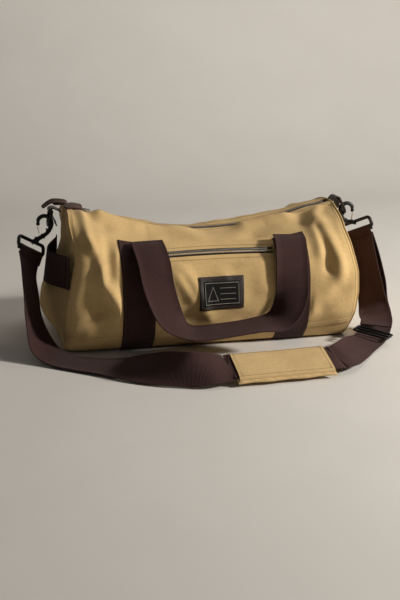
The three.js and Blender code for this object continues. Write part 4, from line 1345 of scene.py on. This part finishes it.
def hook_parts(side, ring_centre, hang):
    """A black trigger hook: a curl that thins to its nose, a ribbed shank, a swivel and a thumb stud."""
    x, z = side * EYE[0], EYE[1]
    curl = np.array([(x + side * out, 0, z + up) for out, up in HOOK_CURL], float)
    foot = np.array(ring_centre, float) - unit(np.array(hang, float)) * 5.2
    neck = curl[-1] * 0.45 + foot * 0.55
    path = curve_through(np.concatenate([curl, [neck], [foot]]), 60)
    share = np.linspace(0, 1, 60)
    bar = HOOK_BAR + 0.8 * np.exp(-((share - 0.42) ** 2) / 0.02) + 0.5 * smooth_step(share, 0.6, 0.9)
    bar = bar * np.minimum(1, 0.6 + share * 5)
    bar = np.where(share > 0.55, bar * (1 + 0.10 * np.sin(share * 120)), bar)
    shank = path[46] - path[42]
    parts = [tube(path, bar, 12)]
    parts.append(oval_bead(path[44], shank, 4.6, 0.5))
    parts.append(oval_bead(path[52], shank, 5.2, 0.45))
    parts.append(oval_bead(curl[0], curl[1] - curl[0], 3.0, 0.9))
    stud = path[34]
    out = unit(np.array([side, 0, 0.3]))
    parts.append(tube(np.array([stud, stud + out * 3.0, stud + out * 5.2]), (1.9, 1.7, 2.3), 10))
    return parts


def ring_loop(centre, along, hang):
    """The path of a rectangular loop with round corners."""
    along, hang = unit(np.array(along, float)), np.array(hang, float)
    hang = unit(hang - along * np.dot(hang, along))
    half, depth = RING_HALF
    angles = np.linspace(0, math.pi / 2, 7)
    path = []
    for u, v, turn in ((1, 1, 0), (-1, 1, 1), (-1, -1, 2), (1, -1, 3)):
        for angle in angles + turn * math.pi / 2:
            across = (half - RING_CORNER) * u + RING_CORNER * math.cos(angle)
            down = (depth - RING_CORNER) * v + RING_CORNER * math.sin(angle)
            path.append(np.array(centre, float) + along * across + hang * down)
    return np.array(path)


def make_anchor_loop(name, side):
    """The short loop that holds the D-ring, stitched down the end panel."""
    x, z = side * D_BARS[name][0], D_BARS[name][1]
    upper_end = settle((x - side * 13, 0, z - 2.2))
    lower_ends = [settle((x - side * 1.6, 0, z - 14)), settle((x - side * 3.2, 0, z - 24))]
    wrapped = [(x - side * 7, 0, z + 2.2), (x - side * 1.5, 0, z + 3.8), (x + side * 3.4, 0, z + 1)]
    wrapped += [(x + side * 1.8, 0, z - 4.5)]
    route = [(place, (0, 1, 0)) for place in [upper_end, *wrapped, *lower_ends]]
    loop = webbing(f"{name}_anchor_loop", route, 24, 1.9, LEATHER, 40)
    finish_piece(loop, "bag", "webbing", f"{name}_strap_anchor")


def make_gate(name, side):
    """Two sprung wires side by side across the hook's mouth."""
    wire = np.array([(side * (EYE[0] + out), 0, EYE[1] + up) for out, up in GATE_WIRE], float)
    pair = [tube(curve_through(wire + np.array([0, y, 0]), 14), 0.65, 8) for y in (-1.3, 1.3)]
    finish_piece(joined(f"{name}_gate", pair, WIRE), f"{name}_gate", "gate_wire", f"{name}_wire_gate")


def make_hardware():
    for name, side in HALVES:
        d_ring = joined(f"{name}_d_ring_moulded", [d_ring_tube(name, side)], PLASTIC)
        finish_piece(d_ring, "bag", "hook_plastic", f"{name}_d_ring")
        make_anchor_loop(name, side)
        centre, along, hang = RINGS[name]
        hook = joined(f"{name}_hook_moulded", hook_parts(side, centre, hang), PLASTIC)
        finish_piece(hook, "shoulder_strap", "hook_plastic", f"{name}_snap_hook")
        make_gate(name, side)
        loop = tube(ring_loop(centre, along, hang), RING_BAR, 10, closed=True)
        ring = joined(f"{name}_ring_moulded", [loop], PLASTIC)
        finish_piece(ring, "shoulder_strap", "hook_plastic", f"{name}_swivel_ring")


# ---- shoulder strap ----
STRAP_LEFT = [
    ((-275.5, -19, 140.5), (0.62, 0.58, -0.45)),
    ((-278, -36, 117), (0.46, 0.84, -0.25)),
    ((-277, -54, 90), (0.46, 0.88, -0.1)),
    ((-276, -73, 59), (0.48, 0.87, 0)),
    ((-270, -90, 31), (0.6, 0.8, 0.05)),
    ((-260.5, -113, 13), (0.75, 0.65, 0.05)),
    ((-240, -136, 5.5), (0.85, 0.5, 0.05)),
    ((-213, -160, 5), (0.85, 0.5, 0.1)),
    ((-176, -192, 9), (0.8, 0.55, 0.25)),
    ((-142, -230, 17), (0.55, 0.6, 0.6)),
    ((-110, -258, 23), (0.25, 0.5, 0.83)),
    ((-78, -276, 25), (0.05, 0.4, 0.92)),
    ((-48, -279, 25), (0.03, 0.7, 0.7)),
    ((-20, -269, 22), (0.1, 0.92, 0.36)),
]
PAD_ROUTE = [
    ((-14, -268, 21), (0.04, 0.92, 0.34)),
    ((60, -265, 21), (0, 0.94, 0.34)),
    ((133, -260, 21), (-0.06, 0.9, 0.34)),
]
# All but the first two points of the right run follow places that a helper program measured on the
# photograph, each moved by a few millimetres.
STRAP_RIGHT = [
    ((145, -257, 20), (-0.12, 0.9, 0.36)),
    ((162, -247, 20), (-0.35, 0.85, 0.4)),
    ((185, -217, 17), (-0.5, 0.75, 0.4)),
    ((211, -179, 12), (-0.6, 0.7, 0.3)),
    ((238, -147, 9), (-0.7, 0.65, 0.12)),
    ((261, -111, 9.5), (-0.72, 0.68, 0.06)),
    ((276, -82, 19), (-0.66, 0.75, 0.03)),
    ((281, -57, 40), (-0.55, 0.83, 0)),
    ((285, -38, 74), (-0.5, 0.866, 0)),
    ((280, -23, 112), (-0.5, 0.84, -0.15)),
    ((271.5, -11, 145), (-0.5, 0.77, -0.4)),
]
STRAP_RETURN = [
    ((267, -19, 141), (-0.5, 0.77, -0.4)),
    ((269, -34, 112), (-0.5, 0.84, -0.15)),
    ((272, -52, 76), (-0.5, 0.866, 0)),
    ((271, -72, 48), (-0.55, 0.83, 0)),
    ((268, -91, 35), (-0.62, 0.77, 0.06)),
    ((265, -109, 28.5), (-0.7, 0.68, 0.1)),
    ((257, -126, 23.2), (-0.72, 0.65, 0.12)),
]
GLIDE_CENTRE = (246, -142, 17.5)
GLIDE_ALONG = (-0.7, 0.65, 0.12)
GLIDE_ACROSS = (0.65, 0.7, 0)


def turned_over_ring(route, ring):
    """The route of a short turn of webbing round the ring's lower bar, towards the start of a run."""
    centre, along, hang = RINGS[ring]
    bar = np.array(centre, float) + unit(np.array(hang, float)) * RING_HALF[1]
    toward = unit(np.array(route[0][0], float) - bar)
    away = unit(np.cross(np.array(along, float), toward))
    return [
        (bar + toward * 6 + away * 2.2, along),
        (bar + toward * 1.0 + away * 3.6, along),
        (bar - toward * 3.4, along),
        (bar + toward * 1.0 - away * 3.6, along),
        (bar + toward * 16 - away * 3.0, along),
    ]


def make_strap():
    runs = (
        ("left_run", STRAP_LEFT, 190, "strap_left_run"),
        ("right_run", STRAP_RIGHT, 170, "strap_right_run"),
        ("return_run", STRAP_RETURN, 90, "strap_return"),
    )
    for name, route, count, node in runs:
        piece = webbing(f"strap_{name}", route, WEB_WIDTH, WEB_THICK * 1.1, WEBBING, count, 1.0, 2.5)
        finish_piece(piece, "shoulder_strap", "webbing", node)
    through = [STRAP_LEFT[-1]] + PAD_ROUTE + [STRAP_RIGHT[0]]
    piece = webbing("strap_through_pad", through, WEB_WIDTH, WEB_THICK, WEBBING, 60)
    finish_piece(piece, "shoulder_strap", "webbing", "strap_under_pad")
    for ring, route in (("left", STRAP_LEFT), ("right", STRAP_RIGHT[::-1])):
        turn = turned_over_ring(route, ring)
        piece = webbing(f"strap_{ring}_turn", turn, WEB_WIDTH, WEB_THICK * 1.05, WEBBING, 44)
        finish_piece(piece, "shoulder_strap", "webbing")


def pad_frame(count):
    centres, across, up = frame_along(PAD_ROUTE, count)
    return centres, across, up * np.sign(up[:, 2:3])


def pad_solid(rows=64, columns=30):
    """The upper and lower face of a crowned pad with rolled edges."""
    centres, across, up = pad_frame(rows)
    along_share = np.linspace(-1, 1, rows)
    across_share = np.sin(np.linspace(-1, 1, columns) * math.pi / 2)
    end = np.clip(1 - np.abs(along_share) ** 10, 0, 1)
    side = np.clip(1 - np.abs(across_share) ** 5, 0, 1)
    puff = (end[:, None] * side[None, :]) ** 0.5
    half_width = 33 * (1 - 0.02 * np.cos(along_share * 9))
    middle = centres - up * 4.2
    place = middle[:, None] + across[:, None] * (across_share[None, :] * half_width[:, None])[..., None]
    ripple = 0.35 * np.sin(along_share * 26)[:, None] * (np.abs(across_share) > 0.6)[None, :]
    top = place + up[:, None] * (0.5 + 3.6 * puff + ripple)[..., None]
    bottom = place - up[:, None] * (0.5 + 2.8 * puff)[..., None]
    return top, bottom


def make_pad():
    top, bottom = pad_solid()
    pad = sheet_piece("shoulder_pad_padded", top, bottom, PAD_CANVAS)
    finish_piece(pad, "shoulder_strap", "canvas", "shoulder_pad")
    centres, across, up = pad_frame(64)
    shares = np.array([-1, -0.97, -0.9, -0.5, 0, 0.5, 0.9, 0.97, 1.0])
    drop = np.array([-4.2, -1.6, 0, 0.4, 0.55, 0.4, 0, -1.6, -4.2])
    trim = slice(1, 63)
    lift = up[trim][:, None] * (2.7 + drop)[None, :, None]
    outer = centres[trim][:, None] + across[trim][:, None] * (shares * 29.5)[None, :, None] + lift
    sleeve = sheet_piece("pad_sleeve", outer, outer - up[trim][:, None] * 0.9, PAD_CANVAS)
    finish_piece(sleeve, "shoulder_strap", "canvas", "shoulder_pad_sleeve")
    parts = []
    for edge in (-25.0, 25.0):
        path = centres[2:-2] + across[2:-2] * edge + up[2:-2] * 3.0
        parts += stitch_parts(path, up[2:-2], 3.0, 2.2, 0.32)
    for row in (3, 60):
        path = centres[row] + across[row] * np.linspace(-27, 27, 30)[:, None] + up[row] * 3.1
        parts += stitch_parts(path, np.tile(up[row], (30, 1)), 3.0, 2.2, 0.32)
    finish_piece(joined("pad_stitching", parts, KHAKI_THREAD), "shoulder_strap", "canvas")


def make_adjuster():
    """A black three-bar glide: a frame with two slots."""
    centre = np.array(GLIDE_CENTRE, float)
    side_way = np.cross(GLIDE_ALONG, GLIDE_ACROSS)
    corners = np.array([(-28, -12, 0), (28, -12, 0), (28, 12, 0), (-28, 12, 0)], float)
    edges = []
    for start, end in zip(corners, np.roll(corners, -1, axis=0)):
        edges.append(start + (end - start) * np.linspace(0.06, 0.94, 8)[:, None])
    frame = tube(np.concatenate(edges), 1.9, 10, closed=True)
    middle_bar = tube(np.array([(u, 0, 0) for u in np.linspace(-28, 28, 12)], float), 1.9, 10)
    parts = [placed(part, centre, GLIDE_ALONG, side_way) for part in (frame, middle_bar)]
    glide = joined("adjuster_glide", parts, PLASTIC)
    finish_piece(glide, "shoulder_strap", "hook_plastic", "strap_adjuster")


def make_floor():
    """A pale sweep: a flat floor that curves up into a wall behind."""
    bend_start, bend = 1100, 700
    profile = [(-4500, 0), (-1500, 0), (0, 0), (700, 0), (bend_start, 0)]
    for angle in np.linspace(0.1, math.pi / 2, 16):
        profile.append((bend_start + bend * math.sin(angle), bend - bend * math.cos(angle)))
    profile += [(bend_start + bend, 2500), (bend_start + bend, 5000)]
    xs = np.linspace(-5000, 5000, 12)
    grid = np.array([[(x, y, z - 0.5) for x in xs] for y, z in profile])
    floor = mesh_piece("floor", grid.reshape(-1, 3), grid_faces(*grid.shape[:2]), floor_material())


make_camera()
make_lights()
make_floor()
make_panels()
make_base()
make_ends()
make_seams()
make_main_zip()
make_main_sliders()
make_pocket()
make_pocket_slider()
make_patch()
make_bands()
make_handles()
make_hardware()
make_strap()
make_pad()
make_adjuster()
